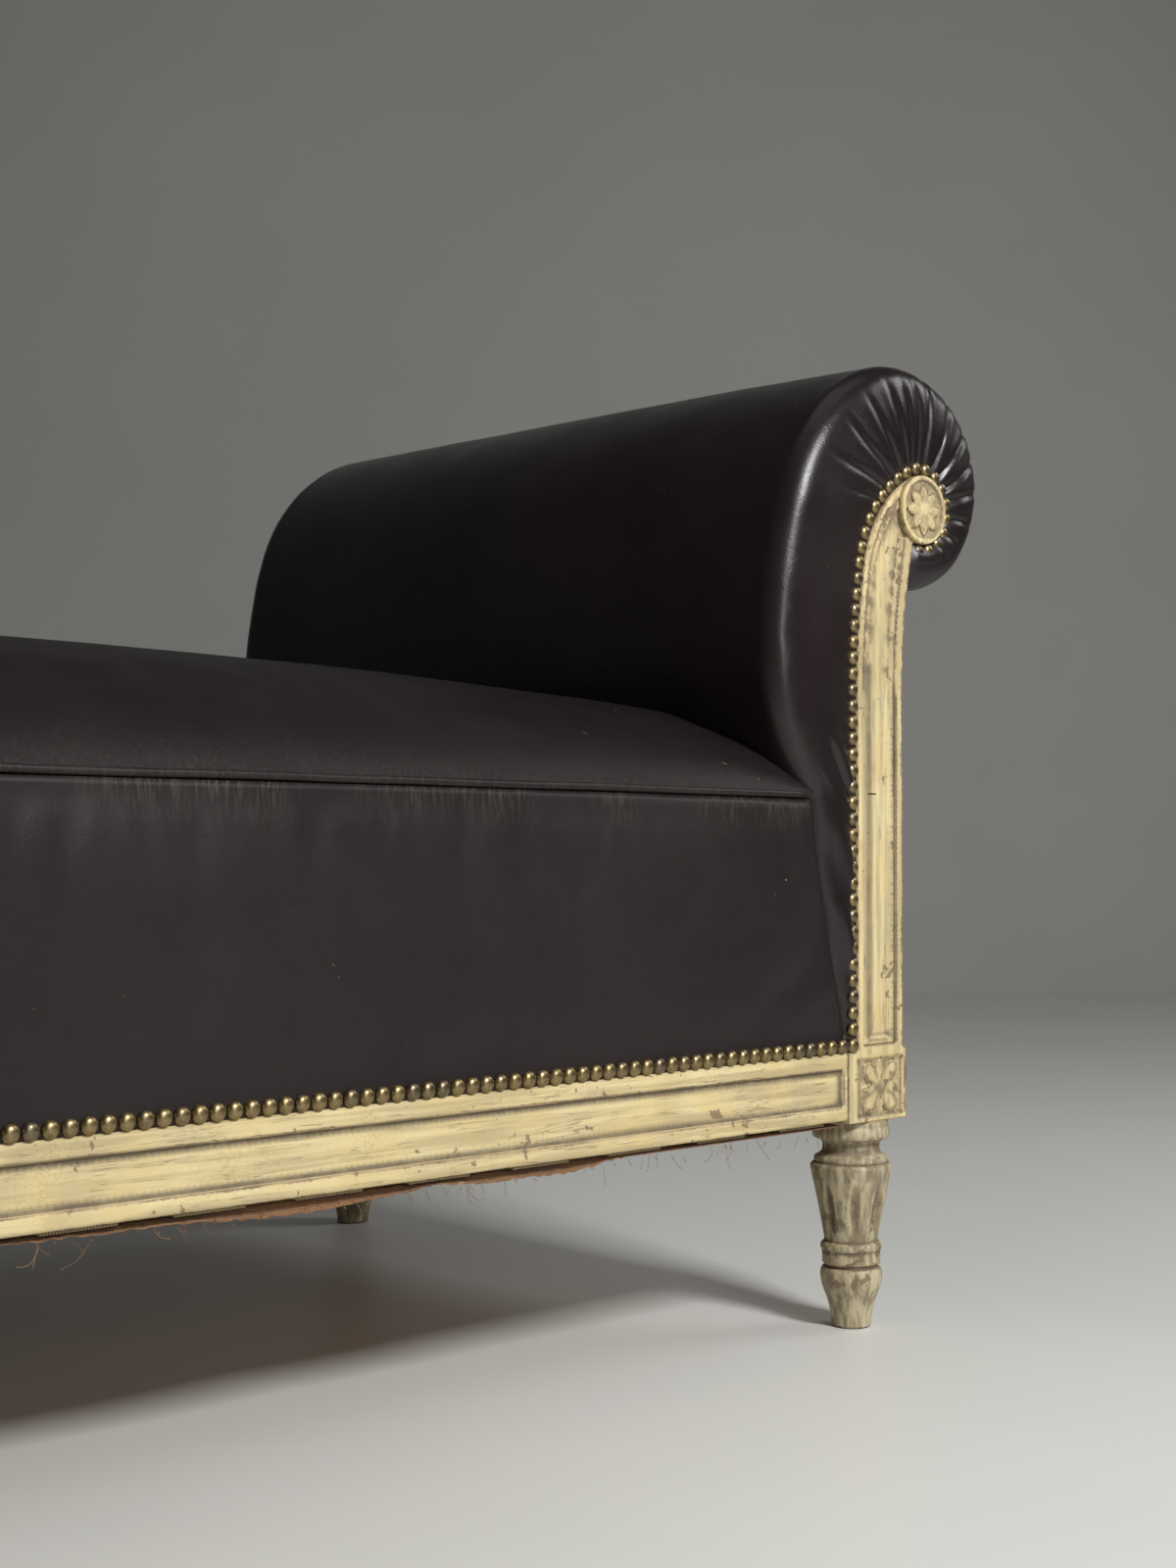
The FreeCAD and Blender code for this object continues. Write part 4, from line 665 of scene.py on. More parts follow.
def carvedLeaves(points, normals, hollow):
    # Rounds the eight leaves of each flower, with a vein down each and a dark valley between two
    for flower in flowers:
        reach = flower["reach"] * mm
        side, up = (points - np.array(flower["middle"])).T[[0, 2]]
        radius = np.hypot(side, up)
        near = (radius < reach) & (np.abs(normals[:, 1]) > 0.5)
        near &= np.abs(np.abs(points[:, 1]) - flower["face"]) < 0.006
        turn = np.arctan2(up, side)
        between = np.abs(np.sin(4 * turn))
        share = radius / reach
        room = smoothStep(share, 0.16, 0.34) * (1 - smoothStep(share, 0.86, 1.0)) * near
        aside = radius * ((turn + math.pi / 8) % (math.pi / 4) - math.pi / 8)
        vein = np.exp(-((aside / (0.55 * mm)) ** 2)) * (1 - smoothStep(share, 0.6, 0.8)) * room
        lobes = 0.5 + 0.5 * np.cos(share * 17)
        cut = (between**1.6 * (0.8 + 0.2 * lobes) + 0.35 * vein) * room
        points -= normals * (cut * flower["deep"] * mm)[:, None]
        hollow = np.maximum(hollow * (1 - 0.35 * room), np.maximum(between**5 * 0.75, vein * 0.5) * room)
    return hollow


def evenWood(source, name, voxel, even, chips, material):
    look = woodShape
    obj = placed(name, tidied(bpy.data.meshes.new_from_object(source)), material)
    remesh = obj.modifiers.new("even", "REMESH")
    remesh.mode = "VOXEL"
    remesh.voxel_size = voxel * mm
    remesh.adaptivity = even
    applied(obj)
    mesh = obj.data
    # The flats get enough points to keep the masks beside the grooves
    shape = bmesh.new()
    shape.from_mesh(mesh)
    bmesh.ops.triangulate(shape, faces=shape.faces)
    for _ in range(look["rounds"]):
        tooLong = [e for e in shape.edges if e.calc_length() > look["longest"] * mm]
        bmesh.ops.subdivide_edges(shape, edges=tooLong, cuts=1, use_single_edge=True)
    bmesh.ops.triangulate(shape, faces=[f for f in shape.faces if len(f.verts) > 4])
    shape.to_mesh(mesh)
    shape.free()
    points = spotsOf(mesh)
    count = len(points)
    edges = np.empty(len(mesh.edges) * 2, np.int32)
    mesh.edges.foreach_get("vertices", edges)
    a, b = edges.reshape(-1, 2).T
    run = points[b] - points[a]
    length = np.maximum(np.linalg.norm(run, axis=1), 1e-9)
    run /= length[:, None]
    # Long edges of the flats pass little on
    share = 1 / (1 + (length / (1.8 * voxel * mm)) ** 4)

    def fromNear(values):
        return np.bincount(a, values[b] * share, count) + np.bincount(b, values[a] * share, count)

    links = np.bincount(a, minlength=count) + np.bincount(b, minlength=count)
    shares = np.maximum(fromNear(np.ones(count)), 1e-9)
    middle = np.stack([fromNear(points[:, k]) for k in range(3)], 1) / shares[:, None]
    points += (middle - points) * (look["soften"] * np.clip(shares / 2, 0, 1))[:, None]
    mesh.vertices.foreach_set("co", points.ravel())
    mesh.update()
    normals = spotsOf(mesh, "normal")
    bend = np.bincount(a, (normals[a] * run).sum(1), count) - np.bincount(b, (normals[b] * run).sum(1), count)
    bend /= np.maximum(links, 1)
    wide = bend.copy()
    narrowSteps, wideSteps = (round((reach / voxel) ** 2) for reach in look["reach"])
    for step in range(wideSteps):
        wide = wide * 0.4 + 0.6 * fromNear(wide) / shares
        if step == narrowSteps - 1:
            bend = wide.copy()
    edge = smoothStep(-bend, *look["edge"])
    hollow = np.maximum(smoothStep(bend, *look["hollow"]), smoothStep(wide, *look["valley"]) * 0.8)
    # Small knocks along the sharp edges
    bite = smoothStep(softNoise(points, 0.006, 3) + 0.5 * softNoise(points, 0.0021, 4), 0.25, 0.9)
    dents = softNoise(points, 0.03, 5) * look["dents"] * mm
    points -= normals * (edge * bite * chips * mm + dents)[:, None]
    hollow = carvedLeaves(points, normals, hollow)
    mesh.vertices.foreach_set("co", points.ravel())
    marked(mesh, "edge", edge)
    marked(mesh, "hollow", hollow)
    mesh.update()
    mesh.polygons.foreach_set("use_smooth", [True] * len(mesh.polygons))
    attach(obj, "root")
    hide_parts(source.name)


def paintedPiece(kind, place, material):
    name = kind + place.title().replace("_", "")
    evenWood(nodes[f"{kind}_{place}"], name, material=material, **woodMesh[kind])


for side in ("front", "back"):
    for end in ("head", "foot"):
        paintedPiece("leg", f"{side}_{end}", legPaint)
        paintedPiece("post", f"{side}_{end}", postPaint)
    paintedPiece("patera", side, postPaint)
    paintedPiece("rail", side, railPaint)
for end in ("head", "foot"):
    paintedPiece("rail", end, crossPaint)
print("painted wood ready")

# Hidden pieces keep their CAD shape
plain = {
    bareWood: ("corner_brace", "cross_brace", "head_top_bar", "head_tacking", "head_foot"),
    jute: ("seat_webbing", "head_webbing"),
    springCloth: ("spring_hessian", "head_hessian"),
    horsehair: ("seat_stuffing", "head_stuffing"),
}
for material, starts in plain.items():
    for obj in (obj for name, obj in nodes.items() if name.startswith(starts)):
        obj.data.materials.clear()
        obj.data.materials.append(material)

# The springs keep their CAD shape with fewer faces
springs = placed("seatSprings", tidied(bpy.data.meshes.new_from_object(nodes["seat_springs"])), springWire)
springs.modifiers.new("fewer", "DECIMATE").ratio = 0.22
applied(springs)
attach(springs, "root")
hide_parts("seat_springs")


def seamHeight(x):
    return 0.424 - 0.0145 * ((x - footEndX) / 1.56) ** 2


hideThick = 0.0016
crown = {
    "stations": (0.0, 0.006, 0.02, 0.05, 0.11, 0.25, 0.5, 0.78, 1.0),
    "widths": (0.93, 0.966, 0.992, 1.0, 1.0, 1.0, 1.0, 1.0, 1.0),
    "heights": (0.16, 0.3, 0.46, 0.66, 0.84, 0.96, 1.0, 0.95, 0.78),
    "high": 0.096,
    "shoulder": 0.38,
    "rim": 0.004,
    "welt": 0.0040,
    "pucker": 0.8,
    "dents": 1.8,
    "drag": 0.55,
    "ripples": 0.22,
    "lidIn": 0.012,
    "cloth": {"bend": 1.5, "pressure": 0.3, "slack": 0.006, "frames": 20, "cap": 3.0},
}

# The head's outline and the nail line beside the stile, in millimetres from the leg's axis
headShape = {
    "joints": [(-34.25, 214.8), (-78.44, 409.5), (-116.6, 509.2), (-93.8, 646.9),
               (-4.06, 739.75), (109.4, 713.9), (109.9, 600.15), (37.0, 575.4)],
    "vias": [(-61.64, 312.15), (-106.3, 456.0), (-111.4, 579.05), (-58.93, 703.0),
             (56.68, 744.44), (131.69, 657.1), (76.7, 578.3)],
    "eye": (53.0, 635.5),
    "ring": 27.4,
    "edgeRound": 18.0,
    "swell": 5.0,
    "facingY": 0.3138,
    "foldAt": (-46, 428),
    "foldWay": (0.85, 0.53),
    "wander": 1.6,
    # Each pleat's turn round the eye in degrees, its depth and how far out it runs
    "creases": [(163, 0.9, 0.8), (147, 1.0, 0.85), (131, 1.0, 0.9), (115, 0.9, 1.0), (106, 0.8, 1.0),
                (97, 0.9, 1.1), (86, 1.3, 1.3), (68, 1.1, 1.3), (51, 1.2, 1.3), (34, 1.1, 1.2),
                (16, 1.2, 1.2), (-6, 1.0, 1.1), (-28, 0.8, 1.0), (-50, 0.7, 0.9), (176, 0.5, 0.6)],
    "creaseDeep": 2.2,
}


def outlinePoints(joints, vias, step):
    points, marks = [joints[0]], [0]
    for via, end in zip(vias, joints[1:]):
        points += arcPoints(points[-1], via, end, step)
        marks.append(len(points) - 1)
    return np.array(points), marks


outline, outlineMarks = outlinePoints(headShape["joints"], headShape["vias"], 3.0)
eyeX, eyeZ = headShape["eye"]
ring = headShape["ring"]


def onRing(turn):
    return (eyeX + ring * math.cos(math.radians(turn)), eyeZ + ring * math.sin(math.radians(turn)))


stileX = -24.5
nailLine = [(stileX, z) for z in np.linspace(214.8, 490, 93)]
nailLine += arcPoints((stileX, 490), (-22.4, 537), (-16.2, 584), 3.0)
nailLine += arcPoints((-16.2, 584), (5.4, 632.0), onRing(109), 3.0)
nailLine += arcPoints(onRing(109), onRing(0), onRing(-109), 2.0)
nailLine = np.array(nailLine)
nailRun = np.concatenate([[0], np.cumsum(np.linalg.norm(np.diff(nailLine, axis=0), axis=1))])


def nearestRun(spot):
    return nailRun[np.argmin(np.linalg.norm(nailLine - np.array(spot), axis=1))]


knotSpots = [(stileX, 214.8), (stileX, 385), (stileX, 482), (3.5, 629), onRing(112), onRing(54), onRing(-32)]
nailKnots = [nearestRun(spot) for spot in knotSpots] + [nailRun[-1]]  # beside each joint of the outline


def seatTop():
    look = crown
    run = headX - footEndX
    u = [np.linspace(0, 0.02, 8)[:-1], np.linspace(0.02, 0.11, 14)[:-1], np.linspace(0.11, 1.0, 150)]
    u = np.concatenate(u)
    # The columns lie closer together towards the seams
    sideLine = 0.1 * np.linspace(0, 1, 20) ** 2.2
    tLine = np.concatenate([sideLine - 1, np.linspace(-0.9, 0.9, 70)[1:-1], 1 - sideLine[::-1]])
    wide = np.interp(u, look["stations"], look["widths"]) * sideY
    fineU = np.linspace(0, 1, 400)
    rough = np.interp(fineU, look["stations"], look["heights"])
    kernel = np.hanning(41)
    kernel /= kernel.sum()
    soft = np.convolve(np.pad(rough, 20, mode="edge"), kernel, mode="valid")
    blend = smoothStep(fineU, 0.04, 0.12)
    rise = np.interp(u, fineU, rough * (1 - blend) + soft * blend) * look["high"]
    t = np.abs(tLine)
    profile = 1 + look["rim"] - (1 - look["shoulder"]) * t**2 - look["shoulder"] * t**14
    x = footEndX + run * u
    base = seamHeight(x) + look["welt"] * 0.5
    grid = gridOf(x[:, None], tLine * wide[:, None], base[:, None] + rise[:, None] * profile)
    # The foot edge drops to the welt
    drop = grid[:1].repeat(3, axis=0)
    drop[:, :, 2] = base[0] + rise[0] * profile * np.array([[0.0], [0.4], [0.75]])
    grid = np.concatenate([drop, grid])
    flat = grid.reshape(-1, 3)
    normal = normalsOf(grid).reshape(-1, 3)
    normal *= np.sign(normal[:, 2].mean())
    edgeAway = np.minimum(sideY - np.abs(flat[:, 1]), flat[:, 0] - footEndX)
    headAway = headX - 0.11 - flat[:, 0]
    along = flat * np.array([1, 1, 0])
    pucker = softNoise(along, 0.021, 1) * 0.6 + softNoise(along, 0.047, 2)
    dents = softNoise(flat, 0.16, 6) * 0.7 + softNoise(flat, 0.075, 7) * 0.3
    drag = softNoise(flat, 0.03, 8, (0.45, 1.3, 1))
    lift = look["pucker"] * np.exp(-edgeAway / 0.02) * pucker
    lift += look["dents"] * dents * smoothStep(edgeAway, 0.01, 0.09)
    lift += look["drag"] * drag * smoothStep(0.16 - headAway, 0, 0.16) * smoothStep(edgeAway, 0.0, 0.05)
    lift += look["ripples"] * softNoise(flat, 0.026, 9, (0.5, 1, 1))
    lift *= smoothStep(edgeAway, 0.0002, 0.006)
    flat += normal * lift[:, None] * mm
    free = smoothStep(edgeAway, 0.001, 0.035) * smoothStep(headAway, -0.08, 0.0)
    grid = settled(flat.reshape(grid.shape), free, look["cloth"], turned=True)
    # A lid just under the seam closes the form
    mesh = sheetMesh("seatTop", grid)
    shape = bmesh.new()
    shape.from_mesh(mesh)
    border = [e for e in shape.edges if e.is_boundary]
    made = bmesh.ops.extrude_edge_only(shape, edges=border)["geom"]
    for vert in (v for v in made if isinstance(v, bmesh.types.BMVert)):
        if vert.co.x < -0.8:
            vert.co.x += look["lidIn"]
        if abs(vert.co.y) > 0.25:
            vert.co.y -= math.copysign(look["lidIn"], vert.co.y)
        lidHeight = seamHeight(vert.co.x) + 0.002
        vert.co.z = lidHeight if vert.co.x > headX - 0.02 else min(vert.co.z, lidHeight)
    bmesh.ops.contextual_create(shape, geom=[e for e in shape.edges if e.is_boundary])
    shape.to_mesh(mesh)
    shape.free()
    # The top takes the leather with painted shade, darker than the border's
    obj = placed("seatTop", tidied(mesh), shadedTopHide)
    spots = spotsOf(mesh)
    away = np.minimum(sideY - np.abs(spots[:, 1]), spots[:, 0] - footEndX)
    marked(mesh, "rub", 0.2 * np.exp(-np.maximum(away, 0) / 0.012))
    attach(obj, "root")
    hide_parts("seat_top_cover", "seat_wadding")


borderLook = {
    "round": 0.020,
    "swell": 2.2,
    "proud": 3.6,
    "pucker": 0.7,
    "folds": 0.6,
    "low": 0.2150,
    "gap": 0.0036,
    "scuffs": 1.1,
    "cloth": {"bend": 1.0, "pressure": 0.5, "slack": 0.006, "frames": 20, "cap": 2.4},
}


def headEdge(z):
    # The head's outline before its edge is rounded, at a height below the seam
    left = outline[: outlineMarks[1] + 1]
    return headX + np.interp(z / mm, left[:, 1], left[:, 0]) * mm


def seatBorder():
    look = borderLook
    r, low = look["round"], look["low"]
    start = footEndX + r
    zShare = np.linspace(0, 1, 46)

    def heights(x):
        return low + zShare * (seamHeight(x) - look["gap"] - low)

    # Columns run along the front, round the foot end and along the back, each with its points and its way out
    def sideColumn(share, side):
        edge = headEdge(heights(start + share * (headX - 0.08 - footEndX - r))) - 0.0008
        x = start + share * (edge - footEndX - r)
        return x, side * sideY, heights(x), (0, side)

    def endColumn(x, y):
        outX = min(0, (x - footEndX - r) / r)
        outY = max(0, (abs(y) - sideY + r) / r) * np.sign(y)
        length = math.hypot(outX, outY) or 1
        return x, y, heights(x), (outX / length, outY / length)

    quarter = np.linspace(0, math.pi / 2, 10)[1:]
    corner = [(footEndX + r - r * math.sin(a), -sideY + r - r * math.cos(a)) for a in quarter]
    ends = [(start, -sideY)] + corner
    ends += [(footEndX, y) for y in np.linspace(-sideY + r, sideY - r, 120)[1:-1]]
    ends += [(x, -y) for x, y in corner[::-1]] + [(start, sideY)]
    runs = np.linspace(0, 1, 260)[1:]
    columns = [sideColumn(share, -1) for share in runs[::-1]]
    columns += [endColumn(x, y) for x, y in ends]
    columns += [sideColumn(share, 1) for share in runs]
    grid = np.zeros((len(columns), len(zShare), 3))
    outward = np.zeros_like(grid)
    for c, (x, y, z, way) in enumerate(columns):
        grid[c, :, 0], grid[c, :, 1], grid[c, :, 2] = x, y, z
        outward[c, :, :2] = way
    flat, out = grid.reshape(-1, 3), outward.reshape(-1, 3)
    share = np.tile(zShare, len(columns))
    topAway, lowAway = (1 - share) * 0.2, share * 0.2
    along = flat * np.array([1, 1, 0.12])
    lift = look["swell"] * np.sin(math.pi * np.clip(share, 0, 1)) ** 0.8
    pucker = softNoise(along, 0.017, 11) + 0.7 * softNoise(along, 0.038, 12)
    lift += look["pucker"] * pucker * np.exp(-topAway / 0.022)
    lift += 0.5 * softNoise(along, 0.024, 13) * np.exp(-lowAway / 0.02)
    lift += 0.9 * softNoise(flat, 0.14, 14, (1, 1, 0.6))
    lift += 0.3 * softNoise(flat, 0.05, 15, (1, 1, 0.5))
    # Pull folds by the head
    headAway = headEdge(flat[:, 2]) - flat[:, 0]
    fold = np.sin((headAway * 0.9 + (flat[:, 2] - 0.25) * 0.33) / 0.0085)
    fold *= np.exp(-headAway / 0.030) * smoothStep(share, 0.15, 0.6) * (out[:, 1] != 0)
    lift += look["folds"] * fold
    lift += look["proud"] * np.exp(-headAway / 0.09) * smoothStep(share, 0.0, 0.25)
    # The leather turns in at the nails, at the seam and at the head
    turnIn = np.clip(headAway / 0.0075, 0, 1)
    settle = smoothStep(lowAway, 0.012, 0.03) * np.sqrt(np.clip(topAway / 0.005, 0, 1))
    lift = np.clip(lift, -0.1, None) * settle * np.sqrt(1 - (1 - turnIn) ** 2) + 0.1
    flat += out * lift[:, None] * mm
    free = smoothStep(share, 0.06, 0.25) * (1 - smoothStep(share, 0.86, 0.985))
    free *= smoothStep(headAway, 0.002, 0.02)
    grid = settled(flat.reshape(grid.shape), free, look["cloth"])
    mesh = tidied(sheetMesh("seatBorder", grid))
    spots = spotsOf(mesh)
    patches = smoothStep(softNoise(spots, 0.05, 16, (1, 1, 0)), -0.6, 0.5)
    rub = look["scuffs"] * np.exp((spots[:, 2] - seamHeight(spots[:, 0])) / 0.011) * patches
    obj = leatherPiece("seatBorder", mesh, seatHide, rub)
    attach(obj, "root")
    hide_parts("seat_border_front", "seat_border_back", "seat_border_foot")


weltLook = {"cord": 0.0027, "sunk": 0.0003, "round": 0.020, "end": 0.0795, "waves": 0.4}


def seatWelt():
    # The cord sewn in between the border and the top
    look = weltLook
    half, start = sideY - look["sunk"], footEndX + look["sunk"]
    turn = look["round"] - look["sunk"]
    cx, cy = footEndX + look["round"], sideY - look["round"]
    quarter = np.linspace(0, math.pi / 2, 10)[1:]
    line = [(x, -half) for x in np.linspace(headX - look["end"], cx, 120)]
    line += [(cx - turn * math.sin(a), -cy - turn * math.cos(a)) for a in quarter]
    line += [(start, y) for y in np.linspace(-cy, cy, 60)[1:]]
    line += [(cx - turn * math.cos(a), cy + turn * math.sin(a)) for a in quarter]
    line += [(x, half) for x in np.linspace(cx, headX - look["end"], 120)[1:]]
    spots = np.array([(x, y, seamHeight(x)) for x, y in line])
    spots[:, 2] += look["waves"] * mm * softNoise(spots, 0.05, 21)
    curve = bpy.data.curves.new("seatWelt", "CURVE")
    curve.dimensions = "3D"
    curve.bevel_depth = look["cord"]
    curve.bevel_resolution = 3
    curve.use_fill_caps = True
    spline = curve.splines.new("POLY")
    spline.points.add(len(spots) - 1)
    for point, spot in zip(spline.points, spots):
        point.co = (*spot, 1)
    mesh = tidied(meshOf(curve))
    obj = placed("seatWelt", mesh, seatHide)
    marked(mesh, "rub", np.full(len(mesh.vertices), 0.25))
    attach(obj, "root")
    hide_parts("seat_piping")


def headLeather():
    look = headShape
    lengths = np.concatenate([[0], np.cumsum(np.linalg.norm(np.diff(outline, axis=0), axis=1))])
    nailAt = np.interp(lengths, lengths[outlineMarks], nailKnots)
    inner = np.stack([np.interp(nailAt, nailRun, way) for way in nailLine.T], 1)
    tangent = np.gradient(outline, axis=0)
    tangent /= np.linalg.norm(tangent, axis=1, keepdims=True)
    normal = np.stack([-tangent[:, 1], tangent[:, 0]], 1)
    gap = np.linalg.norm(outline - inner, axis=1)
    edgeRound = np.minimum(look["edgeRound"], gap * 0.8)
    edgeStart = outline - normal * edgeRound[:, None]
    half = sideY / mm

    # From the nails over a facing and its round edge. r runs over the facing and a over the edge, from 0 to 1
    def sideColumns(side):
        made = [(inner + (edgeStart - inner) * r, np.full(len(outline), side * half), r, 0.0)
                for r in np.linspace(0, 1, 26)]
        for a in np.linspace(0, math.pi / 2, 11)[1:]:
            spot = edgeStart + normal * (edgeRound * math.sin(a))[:, None]
            made.append((spot, side * (half - edgeRound + edgeRound * math.cos(a)), 1.0, a / (math.pi / 2)))
        return made

    columns = sideColumns(-1)
    columns += [(outline, (half - edgeRound) * t, 1.0, 1.0) for t in np.linspace(-1, 1, 74)[1:-1]]
    columns += sideColumns(1)[::-1]
    grid = np.zeros((len(outline), len(columns), 3))
    rad, over = np.zeros(grid.shape[:2]), np.zeros(grid.shape[:2])
    for c, (spot, y, r, a) in enumerate(columns):
        grid[:, c, 0], grid[:, c, 2], grid[:, c, 1] = spot[:, 0], spot[:, 1], y
        rad[:, c], over[:, c] = r, a
    gridX, gridZ = grid[:, :, 0], grid[:, :, 2]
    out = normalsOf(grid)
    middle = grid.shape[1] // 2
    if (out[:, middle, 0] * normal[:, 0] + out[:, middle, 2] * normal[:, 1]).mean() < 0:
        out = -out
    turn = np.degrees(np.arctan2(gridZ - eyeZ, gridX - eyeX))
    away = np.hypot(gridX - eyeX, gridZ - eyeZ)
    points = grid.reshape(-1, 3) * mm
    # The facing swells between the nails and the edge
    facing = np.sin(math.pi * np.clip(rad * 0.72, 0, 1)) * (1 - over)
    lift = look["swell"] * facing * np.clip(gap / 55.0, 0, 1)[:, None]
    # Pleats run from the nails to the edge round the eye
    ridge = np.zeros(rad.shape)
    still = np.zeros(rad.size)
    for k, (angle, deep, reach) in enumerate(look["creases"]):
        wander = softNoise(np.stack([away.ravel() / 40, still + k * 3.1, still], 1), 1.0, 31 + k)
        offset = (turn - angle - look["wander"] * wander.reshape(rad.shape) + 180) % 360 - 180
        wide = np.radians(np.abs(offset)) * away
        fade = smoothStep(reach - (rad * 0.75 + over * 0.5), 0, 0.45)
        valley = np.exp(-((wide / (1.3 + 0.014 * away)) ** 1.2))
        beside = np.exp(-(((wide - 5.0) / 3.6) ** 2)) * 0.22
        ridge -= deep * look["creaseDeep"] * valley * fade * smoothStep(rad, 0.0, 0.08)
        ridge += deep * look["creaseDeep"] * beside * fade * smoothStep(rad, 0.02, 0.2)
    roundEye = smoothStep(gridZ, 600, 640) + smoothStep(gridX, 0, 30) * smoothStep(gridZ, 560, 600)
    roundEye = np.clip(roundEye, 0, 1) * (1 - smoothStep(over, 0.75, 1.0))
    lift += ridge * roundEye + 1.6 * facing * roundEye
    # A gathered fold above the seat's corner, and looser ones below it
    (foldX, foldZ), (wayX, wayZ) = look["foldAt"], look["foldWay"]
    foldLine = (gridX - foldX) * wayX + (gridZ - foldZ) * wayZ
    foldAlong = (gridX - foldX) * -wayZ + (gridZ - foldZ) * wayX
    fold = np.exp(-((foldLine / 3.2) ** 2)) * np.exp(-((foldAlong / 26) ** 4))
    lift -= 2.6 * fold * (1 - over)
    lift += 1.8 * np.exp(-(((foldLine - 8) / 6) ** 2)) * np.exp(-((foldAlong / 30) ** 4)) * (1 - over)
    lowFold = np.sin(gridZ / 9.5 + gridX / 7) * smoothStep(gridZ, 235, 290)
    lift += 1.1 * lowFold * (1 - smoothStep(gridZ, 380, 420)) * (1 - over) * (rad > 0.05)
    lift, over = lift.ravel(), over.ravel()
    edgeBand = np.exp(-(((rad.ravel() + over - 1.35) / 0.5) ** 2))
    lift += (0.55 * softNoise(points, 0.021, 41) + 0.5 * softNoise(points, 0.044, 42)) * edgeBand
    lift += 0.72 * softNoise(points, 0.13, 43) * over + 0.25 * softNoise(points, 0.03, 44)
    lift += 2.0 * over * (1 - np.abs(points[:, 1]) / sideY) ** 0.5
    lift = np.clip(lift, -0.2, None) * smoothStep(rad.ravel(), 0.0, 0.12) + 0.25
    # The two tacked ends stay flat
    row = np.arange(len(outline))
    lift *= 1 - 0.9 * (np.minimum(row, row[::-1]) < 2).repeat(len(columns))
    points += out.reshape(-1, 3) * lift[:, None] * mm
    points[:, 0] += headX
    grid = points.reshape(grid.shape)
    centre = (grid[:-1, :-1] + grid[1:, 1:]) / 2
    keep = (centre[:, :, 2] > ledgeTop) | (np.abs(centre[:, :, 1]) > look["facingY"])
    obj = leatherPiece("headLeather", tidied(sheetMesh("headLeather", grid, keep)), headHide)
    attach(obj, "root")
    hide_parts("head_inside_cover")


outsideLook = {
    "half": 0.3075,
    "line": ((28.75, 490.0), (31.06, 535.05), (37.04, 575.36)),
    "high": 0.5754,
    "swell": 2.2,
}


def outsideLeather():
    look = outsideLook
    low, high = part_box("head_outside_cover")
    backX, straightTop = look["line"][0]
    line = [(backX * mm, z) for z in np.linspace(low.z + 0.0002, straightTop * mm, 60)]
    line += [(x * mm, z * mm) for x, z in arcPoints(*look["line"], 3.0)]
    x, z = np.array(line).T
    y = np.linspace(-look["half"], look["half"], 110)
    grid = gridOf((headX + x)[:, None], y, z[:, None])
    flat = grid.reshape(-1, 3)
    inset = np.minimum(flat[:, 2] - low.z, look["high"] - flat[:, 2])
    inset = np.minimum(inset, look["half"] - np.abs(flat[:, 1]))
    pucker = softNoise(flat, 0.022, 51, (1, 1, 0.5)) * np.exp(-inset / 0.02)
    lift = look["swell"] * smoothStep(inset, 0.012, 0.13)
    lift += 0.5 * pucker * smoothStep(inset, 0.004, 0.012)
    lift += 0.8 * softNoise(flat, 0.12, 52) * smoothStep(inset, 0.01, 0.06)
    flat[:, 0] += np.clip(lift, 0, None) * mm
    mesh = tidied(sheetMesh("outsideLeather", flat.reshape(grid.shape)))
    obj = leatherPiece("outsideLeather", mesh, headHide)
    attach(obj, "root")
    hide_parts("head_outside_cover")


seatTop()
seatBorder()
seatWelt()
headLeather()
outsideLeather()
print("leather ready")

# Dome nails, one on each dome of the CAD rows
nailLook = {"radius": 5.8, "high": 4.5, "segments": 14, "tilt": 0.06, "grow": 0.03, "seed": 7}


def nailSpots(source):
    # The foot and the axis of each dome
    shape = bmesh.new()
    shape.from_mesh(bpy.data.meshes.new_from_object(source))
    bmesh.ops.remove_doubles(shape, verts=shape.verts, dist=0.00003)
    seen, found = set(), []
    for start in shape.verts:
        if start in seen:
            continue
        stack, island = [start], []
        seen.add(start)
        while stack:
            vert = stack.pop()
            island.append(vert.co.copy())
            for edge in vert.link_edges:
                other = edge.other_vert(vert)
                if other not in seen:
                    seen.add(other)
                    stack.append(other)
        spots = np.array(island)
        middle = spots.mean(0)
        axis = np.linalg.eigh(np.cov((spots - middle).T))[1][:, 0]
        height = (spots - middle) @ axis
        spread = np.linalg.norm(spots - middle - height[:, None] * axis, axis=1)
        if (height * spread).sum() > 0:
            axis, height = -axis, -height
        found.append((middle + axis * height.min(), axis))
    shape.free()
    return found


def domeMesh(look):
    r, h, n = look["radius"] * mm, look["high"] * mm, look["segments"]
    rings = [(1.0, 0.0), (1.0, 0.12), (0.95, 0.4), (0.8, 0.68), (0.55, 0.89), (0.27, 0.98)]
    turns = [math.tau * k / n for k in range(n)]
    shape = bmesh.new()
    loops = [[shape.verts.new((r * s * math.cos(a), r * s * math.sin(a), h * z)) for a in turns]
             for s, z in rings]
    top = shape.verts.new((0, 0, h))
    for lower, upper in zip(loops, loops[1:]):
        for k in range(n):
            shape.faces.new((lower[k], lower[(k + 1) % n], upper[(k + 1) % n], upper[k]))
    for k in range(n):
        shape.faces.new((loops[-1][k], loops[-1][(k + 1) % n], top))
    shape.faces.new(loops[0][::-1])
    mesh = bpy.data.meshes.new("nailDome")
    shape.to_mesh(mesh)
    shape.free()
    mesh.polygons.foreach_set("use_smooth", [True] * len(mesh.polygons))
    return mesh


